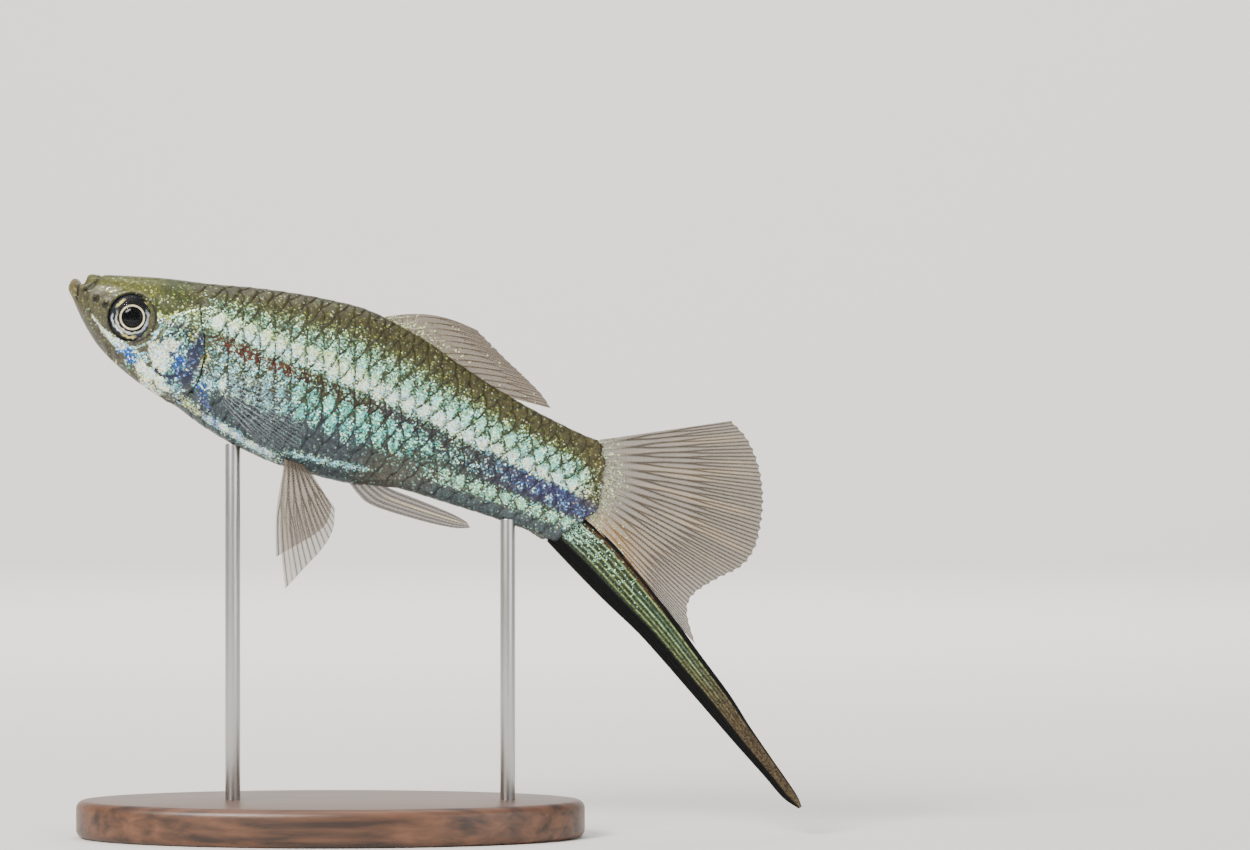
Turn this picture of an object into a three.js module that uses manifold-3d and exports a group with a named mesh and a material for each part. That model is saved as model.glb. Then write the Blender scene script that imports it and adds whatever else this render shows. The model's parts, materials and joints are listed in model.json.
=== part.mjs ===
// A male swordtail at life size, as a still model on a plain display stand.
// Millimetres, +Z up. The origin is the middle of the stand's underside, and the fish looks along -X.
import * as THREE from "three";
import { mergeVertices } from "three/addons/utils/BufferGeometryUtils.js";
import Module from "manifold-3d";

const wasm = await Module();
wasm.setup();

// Driving sizes. In the fish's own frame X runs from the chin tip back to the tail, Z is up,
// and the left flank faces -Y. Its outlines are written in percent of the body length.
const BODY_LENGTH = 60;
const PERCENT = BODY_LENGTH / 100;
const NOSE_UP_DEG = 21;
const GAP = 0.3;
const FINEST = 0.003;
const SWORD_CLEARANCE = 3;

const BACK_LINE = [
  [0, 0.9], [0.25, 1.7], [0.8, 2.5], [2.3, 3.5], [4.2, 4.3], [9.7, 6.2], [15.5, 8], [23.4, 10],
  [31.8, 12.4], [42.6, 14.7], [51, 15.7], [61.4, 14.5], [69.8, 12.5], [78.1, 10.7], [88, 9.3],
  [96, 8.7], [104, 8.9],
];
const BELLY_LINE = [
  [0, 0.7], [0.25, 0], [1.45, -1.1], [2.8, -2.5], [5.2, -4.8], [9.4, -7.8], [16.1, -10.5], [21.2, -11.8],
  [25.5, -12.6], [31.5, -14.2], [38.2, -15.3], [44.6, -15.7], [52, -15.2], [58.4, -14.4], [63, -13.1],
  [68.2, -11.9], [75.3, -11.4], [85.5, -10.8], [91, -10.7], [96, -11], [104, -11.6],
];
const HALF_WIDTH = [
  [0, 0], [0.25, 1.3], [0.8, 2], [1.7, 2.7], [3.3, 3.45], [5.2, 4.1], [8, 4.85], [11, 5.5], [15, 6.2],
  [20, 6.8], [26, 7.15], [34, 7.25], [42, 7], [52, 6.2], [62, 4.95], [72, 3.8], [82, 2.85], [91, 1.95],
  [97, 1.25], [104, 0.85],
];
const WIDEST_LEVEL = [[0, 0.8], [5, 0.9], [13, 0.6], [25, 0], [40, -1.2], [56, 0], [75, -0.2], [104, -1.2]];
const BACK_ROUNDNESS = [[0, 2.2], [8, 2.8], [20, 2.6], [35, 2.15], [60, 1.95], [104, 2]];
const BELLY_ROUNDNESS = [[0, 2.3], [10, 2], [30, 1.95], [46, 2.1], [60, 1.85], [104, 2]];

const HEAD_RINGS = 22;
const TRUNK_RINGS = 12;
const TAIL_RINGS = 8;
const BODY_SIDES = 32;
const HEAD_LOFT_END = 28;
const TAIL_CUT = 73;
const TAIL_LOFT_END = 103;

// The rear edge of the scaled body is an arc, seen from the side.
const TAIL_ROOT = { tip: 101.6, level: -0.4, bend: 0.055 };

const GILL_COVER_REAR = [[23.6, 6.2], [25, 2.8], [26.6, 0.4], [27.9, -4.4], [27.6, -8.4], [25.2, -11.6]];
const GILL_COVER_FRONT = [[24, -12.4], [20.6, -10.4], [18.9, -6.6], [18.3, -2.2], [19, 1.8], [21.2, 4.4]];
const NAPE = [21.6, 11];
const ISTHMUS = [23.6, -13.6];
const GILL_PLATE = { proud: 0.15, thick: 0.55 };

const MOUTH_CORNER = [3.3, 0.9];
const JAW_SEAM = [[6, -2.7], [8.9, -4.7], [11.2, -7], [12.2, -10]];
const GAPE_LOWER = [1.6, 1.8];
const GAPE_UPPER = [2.65, 3.4];
const UPPER_LIP = { front: [3.3, 3.7], rise: 0.7, radius: 0.42 };
const LOWER_LIP = { front: [0.95, 1.6], rise: 0.9, radius: 0.5 };

const EYE = { at: 13.2, level: -0.45, radius: 2.5, depth: 1.25, centre: 2.8 };
const NOSTRILS = [{ at: 5.9, level: 0.3, radius: 0.32 }, { at: 7.9, level: -0.1, radius: 0.4 }];

// The stand.
const NOSE_X = -28;
const BASE = { length: 54, width: 28, thick: 4, edge: 0.6, sides: 48 };
const RODS = { front: -10.4, rear: 18.8 };
const ROD_RADIUS = 0.8;

// Small helpers.
const range = (count) => Array.from({ length: count }, (_, i) => i);
const mix = (a, b, t) => a + (b - a) * t;
const inMillimetres = (points) => points.map((point) => point.map((value) => value * PERCENT));
const clamp01 = (t) => Math.min(1, Math.max(0, t));

// A smooth curve through stations, each an [x, y] pair, that never overshoots between them.
function stationCurve(stations) {
  const points = inMillimetres(stations);
  const slope = points.slice(1).map(([x, y], i) => (y - points[i][1]) / (x - points[i][0]));
  const tangent = points.map((_, i) => {
    const before = slope[Math.max(0, i - 1)];
    const after = slope[Math.min(slope.length - 1, i)];
    return before * after <= 0 ? 0 : (2 * before * after) / (before + after);
  });
  return (x) => {
    const last = points.length - 2;
    let i = points.findIndex((point) => point[0] > x) - 1;
    i = i === -2 ? last : Math.max(0, i);
    const [x0, y0] = points[i];
    const [x1, y1] = points[i + 1];
    const width = x1 - x0;
    const t = clamp01((x - x0) / width);
    const rise = (3 - 2 * t) * t * t;
    const start = t * (1 - t) * (1 - t) * width * tangent[i];
    const end = t * t * (t - 1) * width * tangent[i + 1];
    return y0 + (y1 - y0) * rise + start + end;
  };
}

const backLine = stationCurve(BACK_LINE);
const bellyLine = stationCurve(BELLY_LINE);
const halfWidth = stationCurve(HALF_WIDTH);
const widestLevel = stationCurve(WIDEST_LEVEL);
const roundnessCurve = (stations) => {
  const curve = stationCurve(stations);
  return (x) => curve(x) / PERCENT;
};
const backRoundness = roundnessCurve(BACK_ROUNDNESS);
const bellyRoundness = roundnessCurve(BELLY_ROUNDNESS);

// A point on the skin, or grow millimetres outside it. The angle runs round the body from its
// right flank over the back.
function skinPoint(x, angle, grow = 0) {
  const across = Math.cos(angle);
  const up = Math.sin(angle);
  const power = 2 / (up >= 0 ? backRoundness(x) : bellyRoundness(x));
  const level = widestLevel(x);
  const reach = up >= 0 ? backLine(x) + grow - level : level - bellyLine(x) + grow;
  return [
    x,
    (halfWidth(x) + grow) * Math.sign(across) * Math.abs(across) ** power,
    level + reach * Math.sign(up) * Math.abs(up) ** power,
  ];
}

// How far the flank stands out at a height, on one side of the body.
function flankAt(x, z) {
  const level = widestLevel(x);
  const above = z >= level;
  const reach = above ? backLine(x) - level : level - bellyLine(x);
  const power = above ? backRoundness(x) : bellyRoundness(x);
  return halfWidth(x) * Math.max(0, 1 - Math.abs((z - level) / reach) ** power) ** (1 / power);
}

function indexedGeometry(vertices, triangles) {
  const geometry = new THREE.BufferGeometry();
  geometry.setAttribute("position", new THREE.Float32BufferAttribute(vertices.flat(), 3));
  geometry.setIndex(triangles.flat());
  return geometry;
}

// A closed geometry as a solid that can be joined and cut, with its faces pointing out.
function solidOf(geometry) {
  const bare = geometry.clone();
  bare.deleteAttribute("normal");
  bare.deleteAttribute("uv");
  const merged = mergeVertices(bare, 1e-4);
  const vertProperties = merged.attributes.position.array;
  const mesh = (triVerts) => new wasm.Mesh({ numProp: 3, vertProperties, triVerts, tolerance: FINEST });
  const made = (triVerts) => new wasm.Manifold(mesh(triVerts));
  const triangles = new Uint32Array(merged.index.array);
  const solid = made(triangles);
  return solid.volume() > 0 ? solid : made(triangles.reverse());
}

// The largest closed surface of a solid, as a three.js geometry.
function geometryOf(solid) {
  const largest = solid.decompose().reduce((a, b) => (b.volume() > a.volume() ? b : a));
  const rough = largest.getMesh();
  rough.tolerance = 2 * FINEST;
  const mesh = new wasm.Manifold(rough).getMesh();
  const geometry = new THREE.BufferGeometry();
  geometry.setAttribute("position", new THREE.BufferAttribute(mesh.vertProperties, 3));
  geometry.setIndex(new THREE.BufferAttribute(mesh.triVerts, 1));
  return geometry;
}

// A block whose side view is an outline, across the whole fish or between two widths.
function sideBlock(outline, from = -BODY_LENGTH / 3, to = BODY_LENGTH / 3) {
  const shape = new THREE.Shape(outline.map(([x, z]) => new THREE.Vector2(x, z)));
  const block = new THREE.ExtrudeGeometry(shape, { depth: to - from, bevelEnabled: false });
  return solidOf(block.translate(0, 0, -to).rotateX(Math.PI / 2));
}

// A line of side-view points, or a closed loop, moved sideways, to the right of its own direction.
function shifted(line, distance, loop = false) {
  const near = (i) => line.at(loop ? i % line.length : Math.min(line.length - 1, Math.max(0, i)));
  return line.map(([x, z], i) => {
    const [ax, az] = near(i - 1);
    const [bx, bz] = near(i + 1);
    const length = Math.hypot(bx - ax, bz - az);
    return [x + ((bz - az) / length) * distance, z - ((bx - ax) / length) * distance];
  });
}

// Points of a smooth line through a few side-view points.
function smoothLine(points, steps) {
  const curve = new THREE.SplineCurve(inMillimetres(points).map(([x, z]) => new THREE.Vector2(x, z)));
  return curve.getPoints(steps).map((point) => [point.x, point.y]);
}

// The body as one closed skin, before it is parted.
function bodySkin(grow = 0) {
  const headEnd = HEAD_LOFT_END * PERCENT;
  const cut = TAIL_CUT * PERCENT;
  const end = TAIL_LOFT_END * PERCENT;
  const stations = [
    ...range(HEAD_RINGS).map((i) => headEnd * ((i + 0.6) / HEAD_RINGS) ** 1.6),
    ...range(TRUNK_RINGS).map((i) => mix(headEnd, cut, (i + 0.5) / TRUNK_RINGS)),
    ...range(TAIL_RINGS + 1).map((i) => mix(cut, end, i / TAIL_RINGS)),
  ];
  const vertices = stations.flatMap((x) =>
    range(BODY_SIDES).map((j) => skinPoint(x, (2 * Math.PI * j) / BODY_SIDES, grow)),
  );
  const tip = vertices.push([-grow, 0, widestLevel(0)]) - 1;
  const rear = vertices.push([end, 0, widestLevel(end)]) - 1;
  const lastRing = (stations.length - 1) * BODY_SIDES;
  const triangles = [];
  range(BODY_SIDES).forEach((j) => {
    const next = (j + 1) % BODY_SIDES;
    triangles.push([tip, j, next], [rear, lastRing + next, lastRing + j]);
    range(stations.length - 1).forEach((i) => {
      const here = i * BODY_SIDES;
      const there = here + BODY_SIDES;
      triangles.push([here + j, there + j, here + next], [here + next, there + j, there + next]);
    });
  });
  return solidOf(indexedGeometry(vertices, triangles));
}

const tailRoot = (z) => TAIL_ROOT.tip - TAIL_ROOT.bend * (z - TAIL_ROOT.level) ** 2;

// The side view of everything ahead of the tail's rounded root, plus a gap.
function aheadOfTailRoot(gap) {
  const arc = range(17).map((i) => mix(-16, 14, i / 16)).map((z) => [tailRoot(z), z]);
  return [...shifted(inMillimetres(arc), gap), [0, 20 * PERCENT], [0, -20 * PERCENT]];
}

// The gill slit, from the nape round the gill cover to the isthmus.
const gillSlit = smoothLine([NAPE, ...GILL_COVER_REAR, ISTHMUS], 26);
const aheadOfGillSlit = (gap) => [
  ...shifted(gillSlit, -gap), [gillSlit.at(-1)[0], -BODY_LENGTH / 2], [-BODY_LENGTH / 6, -BODY_LENGTH / 2],
  [-BODY_LENGTH / 6, BODY_LENGTH / 2], [gillSlit[0][0], BODY_LENGTH / 2],
];

const gillCoverLine = smoothLine(
  [...GILL_COVER_REAR, ...GILL_COVER_FRONT, GILL_COVER_REAR[0]], 44,
).slice(0, -1);

function ellipsoid([x, y, z], [rx, ry, rz], columns, rows) {
  const ball = new THREE.SphereGeometry(1, columns, rows).rotateX(Math.PI / 2);
  return solidOf(ball.scale(rx, ry, rz).translate(x, y, z));
}

const eyeBall = (side, grow = 0) => {
  const radius = EYE.radius + grow;
  const centre = [EYE.at * PERCENT, side * EYE.centre, EYE.level * PERCENT];
  return ellipsoid(centre, [radius, EYE.depth + grow, radius], 24, 10);
};

function nostril(side, { at, level, radius }) {
  const x = at * PERCENT;
  const z = level * PERCENT;
  return ellipsoid([x, side * (flankAt(x, z) + radius / 5), z], [radius, radius * 1.3, radius], 10, 6);
}

// A lip is a rounded rim that runs over the snout from one mouth corner to the other.
function lip({ front, rise, radius }) {
  const [x, z] = MOUTH_CORNER.map((value) => value * PERCENT);
  const [frontX, frontZ] = front.map((value) => value * PERCENT);
  const half = flankAt(x, z) - radius / 2;
  const points = range(9).map((i) => {
    const turn = Math.PI * (i / 8 - 0.5);
    const ahead = Math.cos(turn) ** 0.8;
    return new THREE.Vector3(mix(x, frontX, ahead), half * Math.sin(turn), mix(z, frontZ, ahead ** rise));
  });
  const tube = new THREE.ExtrudeGeometry(new THREE.Shape().absellipse(0, 0, radius, radius, 0, 2 * Math.PI), {
    extrudePath: new THREE.CatmullRomCurve3(points), steps: 16, curveSegments: 4, bevelEnabled: false,
  });
  return solidOf(tube);
}

const gapeOutline = inMillimetres([MOUTH_CORNER, GAPE_LOWER, [-1, 4], [1, 7], GAPE_UPPER]);
const jawSeam = smoothLine([MOUTH_CORNER, ...JAW_SEAM], 10);
const jawBlock = (gap) => sideBlock([
  ...shifted(jawSeam, gap), [BODY_LENGTH / 9, -BODY_LENGTH / 5], [-BODY_LENGTH / 9, -BODY_LENGTH / 5],
  [-BODY_LENGTH / 9, BODY_LENGTH / 9], [GAPE_LOWER[0] * PERCENT, BODY_LENGTH / 9],
]);

// Parting the body.
const wholeBody = bodySkin();
const clearOfBody = bodySkin(1.2 * GAP);
const headBlock = sideBlock(aheadOfGillSlit(0));
const aheadOfTrunk = sideBlock(aheadOfGillSlit(GAP));
const gillPlateWell = sideBlock(shifted(gillCoverLine, -GAP, true)).subtract(
  bodySkin(GILL_PLATE.proud - GILL_PLATE.thick - 1.2 * GAP),
);

function headSolid() {
  let head = wholeBody.intersect(headBlock).subtract(gillPlateWell).subtract(sideBlock(gapeOutline));
  head = head.subtract(jawBlock(-GAP / 2)).add(lip(UPPER_LIP).subtract(sideBlock(gapeOutline)));
  for (const side of [-1, 1]) {
    head = head.subtract(eyeBall(side, GAP));
    for (const pit of NOSTRILS) head = head.subtract(nostril(side, pit));
  }
  return head.subtract(jawBlock(-GAP / 2));
}

function jawSolid() {
  const jaw = wholeBody.intersect(jawBlock(GAP / 2)).subtract(sideBlock(gapeOutline));
  return jaw.add(lip(LOWER_LIP)).intersect(jawBlock(GAP / 2));
}

function gillCoverSolid(side) {
  const reach = side * BODY_LENGTH / 3;
  const plate = sideBlock(gillCoverLine, Math.min(side * GAP, reach), Math.max(side * GAP, reach));
  const outside = bodySkin(GILL_PLATE.proud);
  return plate.intersect(outside).subtract(bodySkin(GILL_PLATE.proud - GILL_PLATE.thick));
}

function trunkSolid() {
  const rear = TAIL_CUT * PERCENT - GAP / 2;
  const ahead = sideBlock([[0, -20], [rear, -20], [rear, 20], [0, 20]]);
  return wholeBody.intersect(ahead).subtract(aheadOfTrunk);
}

function tailRootSolid() {
  const front = TAIL_CUT * PERCENT + GAP / 2;
  const behind = sideBlock([[front, -20], [2 * BODY_LENGTH, -20], [2 * BODY_LENGTH, 20], [front, 20]]);
  return wholeBody.intersect(behind).intersect(sideBlock(aheadOfTailRoot(0)));
}

// Fins. A fin is a sheet of rays: at(u, v) gives a point, with u from the first ray to the last
// and v from root to tip. Each ray is a ridge raised on both faces of the membrane.
function finSolid({ at, rays, rows, membrane, ridge, ridgeShare = 0.22 }) {
  const last = rays - 1;
  const columns = range(rays).flatMap((i) =>
    [i - ridgeShare, i, i + ridgeShare].filter((c) => c >= 0 && c <= last),
  );
  const point = (u, v) => new THREE.Vector3(...at(u, v));
  const vertices = [];
  columns.forEach((c) => {
    const raised = Number.isInteger(c);
    range(rows + 1).forEach((j) => {
      const u = c / last;
      const v = j / rows;
      const step = 0.01;
      const alongU = point(Math.min(1, u + step), v).sub(point(Math.max(0, u - step), v));
      const alongV = point(u, Math.min(1, v + step)).sub(point(u, Math.max(0, v - step)));
      const normal = alongU.cross(alongV).normalize();
      const half = (membrane(u, v) + (raised ? ridge(u, v) : 0)) / 2;
      const middle = point(u, v);
      vertices.push(middle.clone().addScaledVector(normal, half).toArray());
      vertices.push(middle.clone().addScaledVector(normal, -half).toArray());
    });
  });
  const id = (i, j, face) => 2 * (i * (rows + 1) + j) + face;
  const quad = (a, b, c, d) => [[a, b, c], [a, c, d]];
  const triangles = [];
  const lastColumn = columns.length - 1;
  range(lastColumn).forEach((i) => {
    range(rows).forEach((j) => {
      triangles.push(...quad(id(i, j, 0), id(i + 1, j, 0), id(i + 1, j + 1, 0), id(i, j + 1, 0)));
      triangles.push([id(i, j, 1), id(i + 1, j + 1, 1), id(i + 1, j, 1)]);
      triangles.push([id(i, j, 1), id(i, j + 1, 1), id(i + 1, j + 1, 1)]);
    });
    triangles.push(...quad(id(i, 0, 1), id(i + 1, 0, 1), id(i + 1, 0, 0), id(i, 0, 0)));
    triangles.push(...quad(id(i, rows, 0), id(i + 1, rows, 0), id(i + 1, rows, 1), id(i, rows, 1)));
  });
  range(rows).forEach((j) => {
    triangles.push(...quad(id(0, j, 0), id(0, j + 1, 0), id(0, j + 1, 1), id(0, j, 1)));
    triangles.push(...quad(id(lastColumn, j, 1), id(lastColumn, j + 1, 1), id(lastColumn, j + 1, 0), id(lastColumn, j, 0)));
  });
  return solidOf(indexedGeometry(vertices, triangles));
}

// A curve through a few side-view points, read at shares of its length.
const edgeCurve = (points) => {
  const curve = new THREE.SplineCurve(inMillimetres(points).map(([x, z]) => new THREE.Vector2(x, z)));
  return (t) => curve.getPointAt(clamp01(t));
};

const THIN = 0.5;

// The dorsal fin, laid back along the body.
const DORSAL = {
  front: 52.3, rear: 76.8, sink: 1.6, rays: 12,
  tips: [[70.6, 19.2], [74.3, 17.5], [77.4, 16.1], [80.4, 14.9], [82.9, 13.8], [85.2, 12.7], [87.6, 11]],
  bow: 1.9, sway: 0.35, rows: 6,
};

function dorsalFin() {
  const tips = edgeCurve(DORSAL.tips);
  const at = (u, v) => {
    const rootX = mix(DORSAL.front, DORSAL.rear, u) * PERCENT;
    const rootZ = backLine(rootX) - DORSAL.sink * PERCENT;
    const tip = tips(u);
    const bow = DORSAL.bow * PERCENT * (1 - u) * Math.sin(Math.PI * v);
    return [mix(rootX, tip.x, v), DORSAL.sway * Math.sin(Math.PI * 1.3 * u) * v * v, mix(rootZ, tip.y, v) + bow];
  };
  const fin = finSolid({
    at, rays: DORSAL.rays, rows: DORSAL.rows, membrane: () => THIN, ridge: (u, v) => mix(0.34, 0.12, v),
  });
  return fin.subtract(clearOfBody);
}

// The tail fin's fan.
const FAN = {
  top: 8.3, bottom: -4.7, rays: 15, rows: 6,
  tips: [
    [118.2, 20.4], [122, 18.5], [125.6, 14.8], [128.2, 10.2], [129.7, 5.2], [130.2, 0.6], [129, -3.2],
    [125.6, -7], [122.9, -11], [123.2, -14.4], [126.6, -19],
  ],
  sway: 0.5,
};

function fanSolid() {
  const tips = edgeCurve(FAN.tips);
  const at = (u, v) => {
    const level = mix(FAN.top, FAN.bottom, u);
    const rootX = (tailRoot(level) - 1.5) * PERCENT;
    const tip = tips(u);
    return [mix(rootX, tip.x, v), FAN.sway * Math.sin(2 * Math.PI * u + 0.6) * v * v, mix(level * PERCENT, tip.y, v)];
  };
  const fin = finSolid({
    at, rays: FAN.rays, rows: FAN.rows,
    membrane: (u, v) => mix(0.75, THIN, Math.min(1, 2 * v)), ridge: (u, v) => mix(0.4, 0.12, v),
  });
  const clear = sideBlock(aheadOfTailRoot(GAP));
  return fin.subtract(clear).subtract(sideBlock(swordOutline(GAP)));
}

// The sword, the long lower rays of the tail fin.
const SWORD = {
  upper: [[99.2, -4.9], [105.3, -6.9], [110.6, -9.6], [116, -12.8], [122, -16.4], [127.8, -20.2], [135.3, -25], [140.5, -28.9], [146.3, -32.9], [152.4, -37.1], [154.3, -39]],
  lower: [[95.2, -11.2], [100.4, -13.7], [108, -17.2], [115.9, -20.5], [121.3, -23.2], [127.3, -26.4], [133.5, -29.7], [139.5, -32.9], [146.1, -36.3], [150.6, -38.7], [153.9, -39.5]],
  rays: 6, rows: 16,
};
const swordUpper = edgeCurve(SWORD.upper);
const swordLower = edgeCurve(SWORD.lower);

// The sword's side view, grown by a margin.
function swordOutline(margin) {
  const edge = (curve) => range(21).map((i) => curve(i / 20)).map((point) => [point.x, point.y]);
  return [...shifted(edge(swordUpper), -margin), ...shifted(edge(swordLower), margin).reverse()];
}

function swordSolid() {
  const at = (u, v) => {
    const a = swordUpper(v);
    const b = swordLower(v);
    return [mix(a.x, b.x, u), 0.6 * v * v, mix(a.y, b.y, u)];
  };
  const fin = finSolid({
    at, rays: SWORD.rays, rows: SWORD.rows, membrane: (u, v) => mix(0.8, THIN, v), ridge: (u, v) => mix(0.4, 0.15, v),
  });
  return fin.subtract(sideBlock(aheadOfTailRoot(GAP)));
}

// The anal fin of a male, a slim rod of a few rays with a hooked tip.
const GONOPODIUM = {
  upper: [[63, -11.4], [65.5, -12.4], [72, -12.5], [78, -12.7], [80.8, -13.1]],
  lower: [[57, -12.8], [61, -15.4], [64.4, -16.4], [72.7, -15.9], [78.8, -15], [81.8, -13.9]],
  rays: 4, rows: 10,
};

function gonopodiumSolid() {
  const upper = edgeCurve(GONOPODIUM.upper);
  const lower = edgeCurve(GONOPODIUM.lower);
  const at = (u, v) => {
    const a = upper(v);
    const b = lower(v);
    return [mix(a.x, b.x, u), 0, mix(a.y, b.y, u)];
  };
  const fin = finSolid({
    at, rays: GONOPODIUM.rays, rows: GONOPODIUM.rows,
    membrane: (u, v) => mix(0.9, THIN, v), ridge: (u, v) => mix(0.5, 0.2, v),
  });
  return fin.subtract(clearOfBody);
}

// Paired fins. A ray leaves the root line on the flank and fans out, back and outwards.
const PECTORAL = {
  rootTop: [32.2, -3.6], rootBottom: [34, -8.8], rays: 9, rows: 6,
  first: { angle: 9, length: 12.5 }, middle: 18, last: { angle: -27, length: 12 },
  flare: 15, cup: 0.7,
};

function pectoralFin(side) {
  const at = (u, v) => {
    const [x, z] = [0, 1].map((k) => mix(PECTORAL.rootTop[k], PECTORAL.rootBottom[k], u) * PERCENT);
    const angle = THREE.MathUtils.degToRad(mix(PECTORAL.first.angle, PECTORAL.last.angle, u));
    const ends = mix(PECTORAL.first.length, PECTORAL.last.length, u);
    const length = mix(ends, PECTORAL.middle, Math.sin(Math.PI * u)) * PERCENT;
    const flare = THREE.MathUtils.degToRad(PECTORAL.flare);
    const out = flankAt(x, z) - 0.9 + Math.sin(flare) * length * v + PECTORAL.cup * Math.sin(Math.PI * v);
    const along = Math.cos(flare) * length * v;
    return [x - 0.6 + along * Math.cos(angle), side * out, z + along * Math.sin(angle)];
  };
  const fin = finSolid({
    at, rays: PECTORAL.rays, rows: PECTORAL.rows, membrane: () => THIN, ridge: (u, v) => mix(0.3, 0.1, v),
  });
  return fin.subtract(clearOfBody);
}

const PELVIC = {
  rootFront: [46.8, -14.2], rootRear: [50.6, -14], rays: 6, rows: 7, rootOut: 2,
  tips: [[55.6, -36], [57.6, -30.6], [59, -26.8], [59.5, -23], [58.4, -19.2]],
  left: { forward: 0, splay: 16 }, right: { forward: 13, splay: 40 },
};

function pelvicFin(side, { forward, splay }) {
  const tips = edgeCurve(PELVIC.tips);
  const turn = THREE.MathUtils.degToRad(-forward);
  const tilt = THREE.MathUtils.degToRad(splay);
  const at = (u, v) => {
    const [x, z] = [0, 1].map((k) => mix(PELVIC.rootFront[k], PELVIC.rootRear[k], u) * PERCENT);
    const tip = tips(u);
    const reach = [tip.x - x, tip.y - z];
    const back = reach[0] * Math.cos(turn) - reach[1] * Math.sin(turn);
    const down = reach[0] * Math.sin(turn) + reach[1] * Math.cos(turn);
    const bow = 0.5 * Math.sin(Math.PI * v) * (1 - u);
    const out = PELVIC.rootOut - Math.sin(tilt) * down * v;
    return [x + back * v - bow, side * out, z + Math.cos(tilt) * down * v];
  };
  const fin = finSolid({
    at, rays: PELVIC.rays, rows: PELVIC.rows, membrane: () => THIN, ridge: (u, v) => mix(0.34, 0.1, v),
  });
  return fin.subtract(clearOfBody);
}

// Materials.
const finish = (color, roughness, metalness = 0) =>
  new THREE.MeshStandardMaterial({ color, roughness, metalness });
const SKIN = finish(0x9cc2b4, 0.35, 0.35);
const GILL = finish(0xcfe2e8, 0.25, 0.5);
const IRIS = finish(0xd8d2b0, 0.2, 0.4);
const FIN = finish(0x8c7a68, 0.5);
const SWORD_GREEN = finish(0x5f7d4e, 0.4);
const STEEL = finish(0xb9bcc0, 0.3, 1);
const PLINTH = finish(0x2b2a28, 0.45);

function piece(name, solid, material) {
  const mesh = new THREE.Mesh(geometryOf(solid), material);
  mesh.name = name;
  return mesh;
}

// The fish, in its own frame.
const fish = new THREE.Group();
fish.add(
  piece("head", headSolid(), SKIN),
  piece("lower_jaw", jawSolid(), SKIN),
  piece("gill_cover_left", gillCoverSolid(-1), GILL),
  piece("gill_cover_right", gillCoverSolid(1), GILL),
  piece("eye_left", eyeBall(-1), IRIS),
  piece("eye_right", eyeBall(1), IRIS),
  piece("trunk", trunkSolid(), SKIN),
  piece("tail_root", tailRootSolid(), SKIN),
  piece("dorsal_fin", dorsalFin(), FIN),
  piece("tail_fan", fanSolid(), FIN),
  piece("sword", swordSolid(), SWORD_GREEN),
  piece("gonopodium", gonopodiumSolid(), FIN),
  piece("pectoral_fin_left", pectoralFin(-1), FIN),
  piece("pectoral_fin_right", pectoralFin(1), FIN),
  piece("pelvic_fin_left", pelvicFin(-1, PELVIC.left), FIN),
  piece("pelvic_fin_right", pelvicFin(1, PELVIC.right), FIN),
);

// The fish is tipped nose up, so high that the sword's tip clears the floor.
const tilt = THREE.MathUtils.degToRad(NOSE_UP_DEG);
const [swordTipX, swordTipZ] = SWORD.lower.at(-1).map((value) => value * PERCENT);
const noseZ = SWORD_CLEARANCE + swordTipX * Math.sin(tilt) - swordTipZ * Math.cos(tilt);
fish.rotation.y = tilt;
fish.position.set(NOSE_X, 0, noseZ);
fish.updateMatrixWorld(true);

function standBase() {
  const rim = new THREE.Shape().absellipse(
    0, 0, BASE.length / 2 - BASE.edge, BASE.width / 2 - BASE.edge, 0, 2 * Math.PI,
  );
  const plate = new THREE.ExtrudeGeometry(rim, {
    depth: BASE.thick - 2 * BASE.edge, bevelSize: BASE.edge, bevelThickness: BASE.edge,
    bevelSegments: 1, curveSegments: BASE.sides / 2,
  });
  return solidOf(plate.translate(0, 0, BASE.edge));
}

// A rod rises from the base to the belly and is cut to the belly's own shape.
const bodyInPlace = solidOf(geometryOf(clearOfBody).applyMatrix4(fish.matrixWorld));

function standRod(x) {
  const bottom = BASE.thick + GAP;
  const rod = new THREE.CylinderGeometry(ROD_RADIUS, ROD_RADIUS, noseZ - bottom, 16).rotateX(Math.PI / 2);
  const solid = solidOf(rod.translate(x, 0, (noseZ + bottom) / 2)).subtract(bodyInPlace);
  return solid.decompose().reduce((a, b) => (b.boundingBox().min[2] < a.boundingBox().min[2] ? b : a));
}

const model = new THREE.Group();
model.add(
  fish,
  piece("stand_base", standBase(), PLINTH),
  piece("stand_rod_front", standRod(RODS.front), STEEL),
  piece("stand_rod_rear", standRod(RODS.rear), STEEL),
);

export default model;
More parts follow.
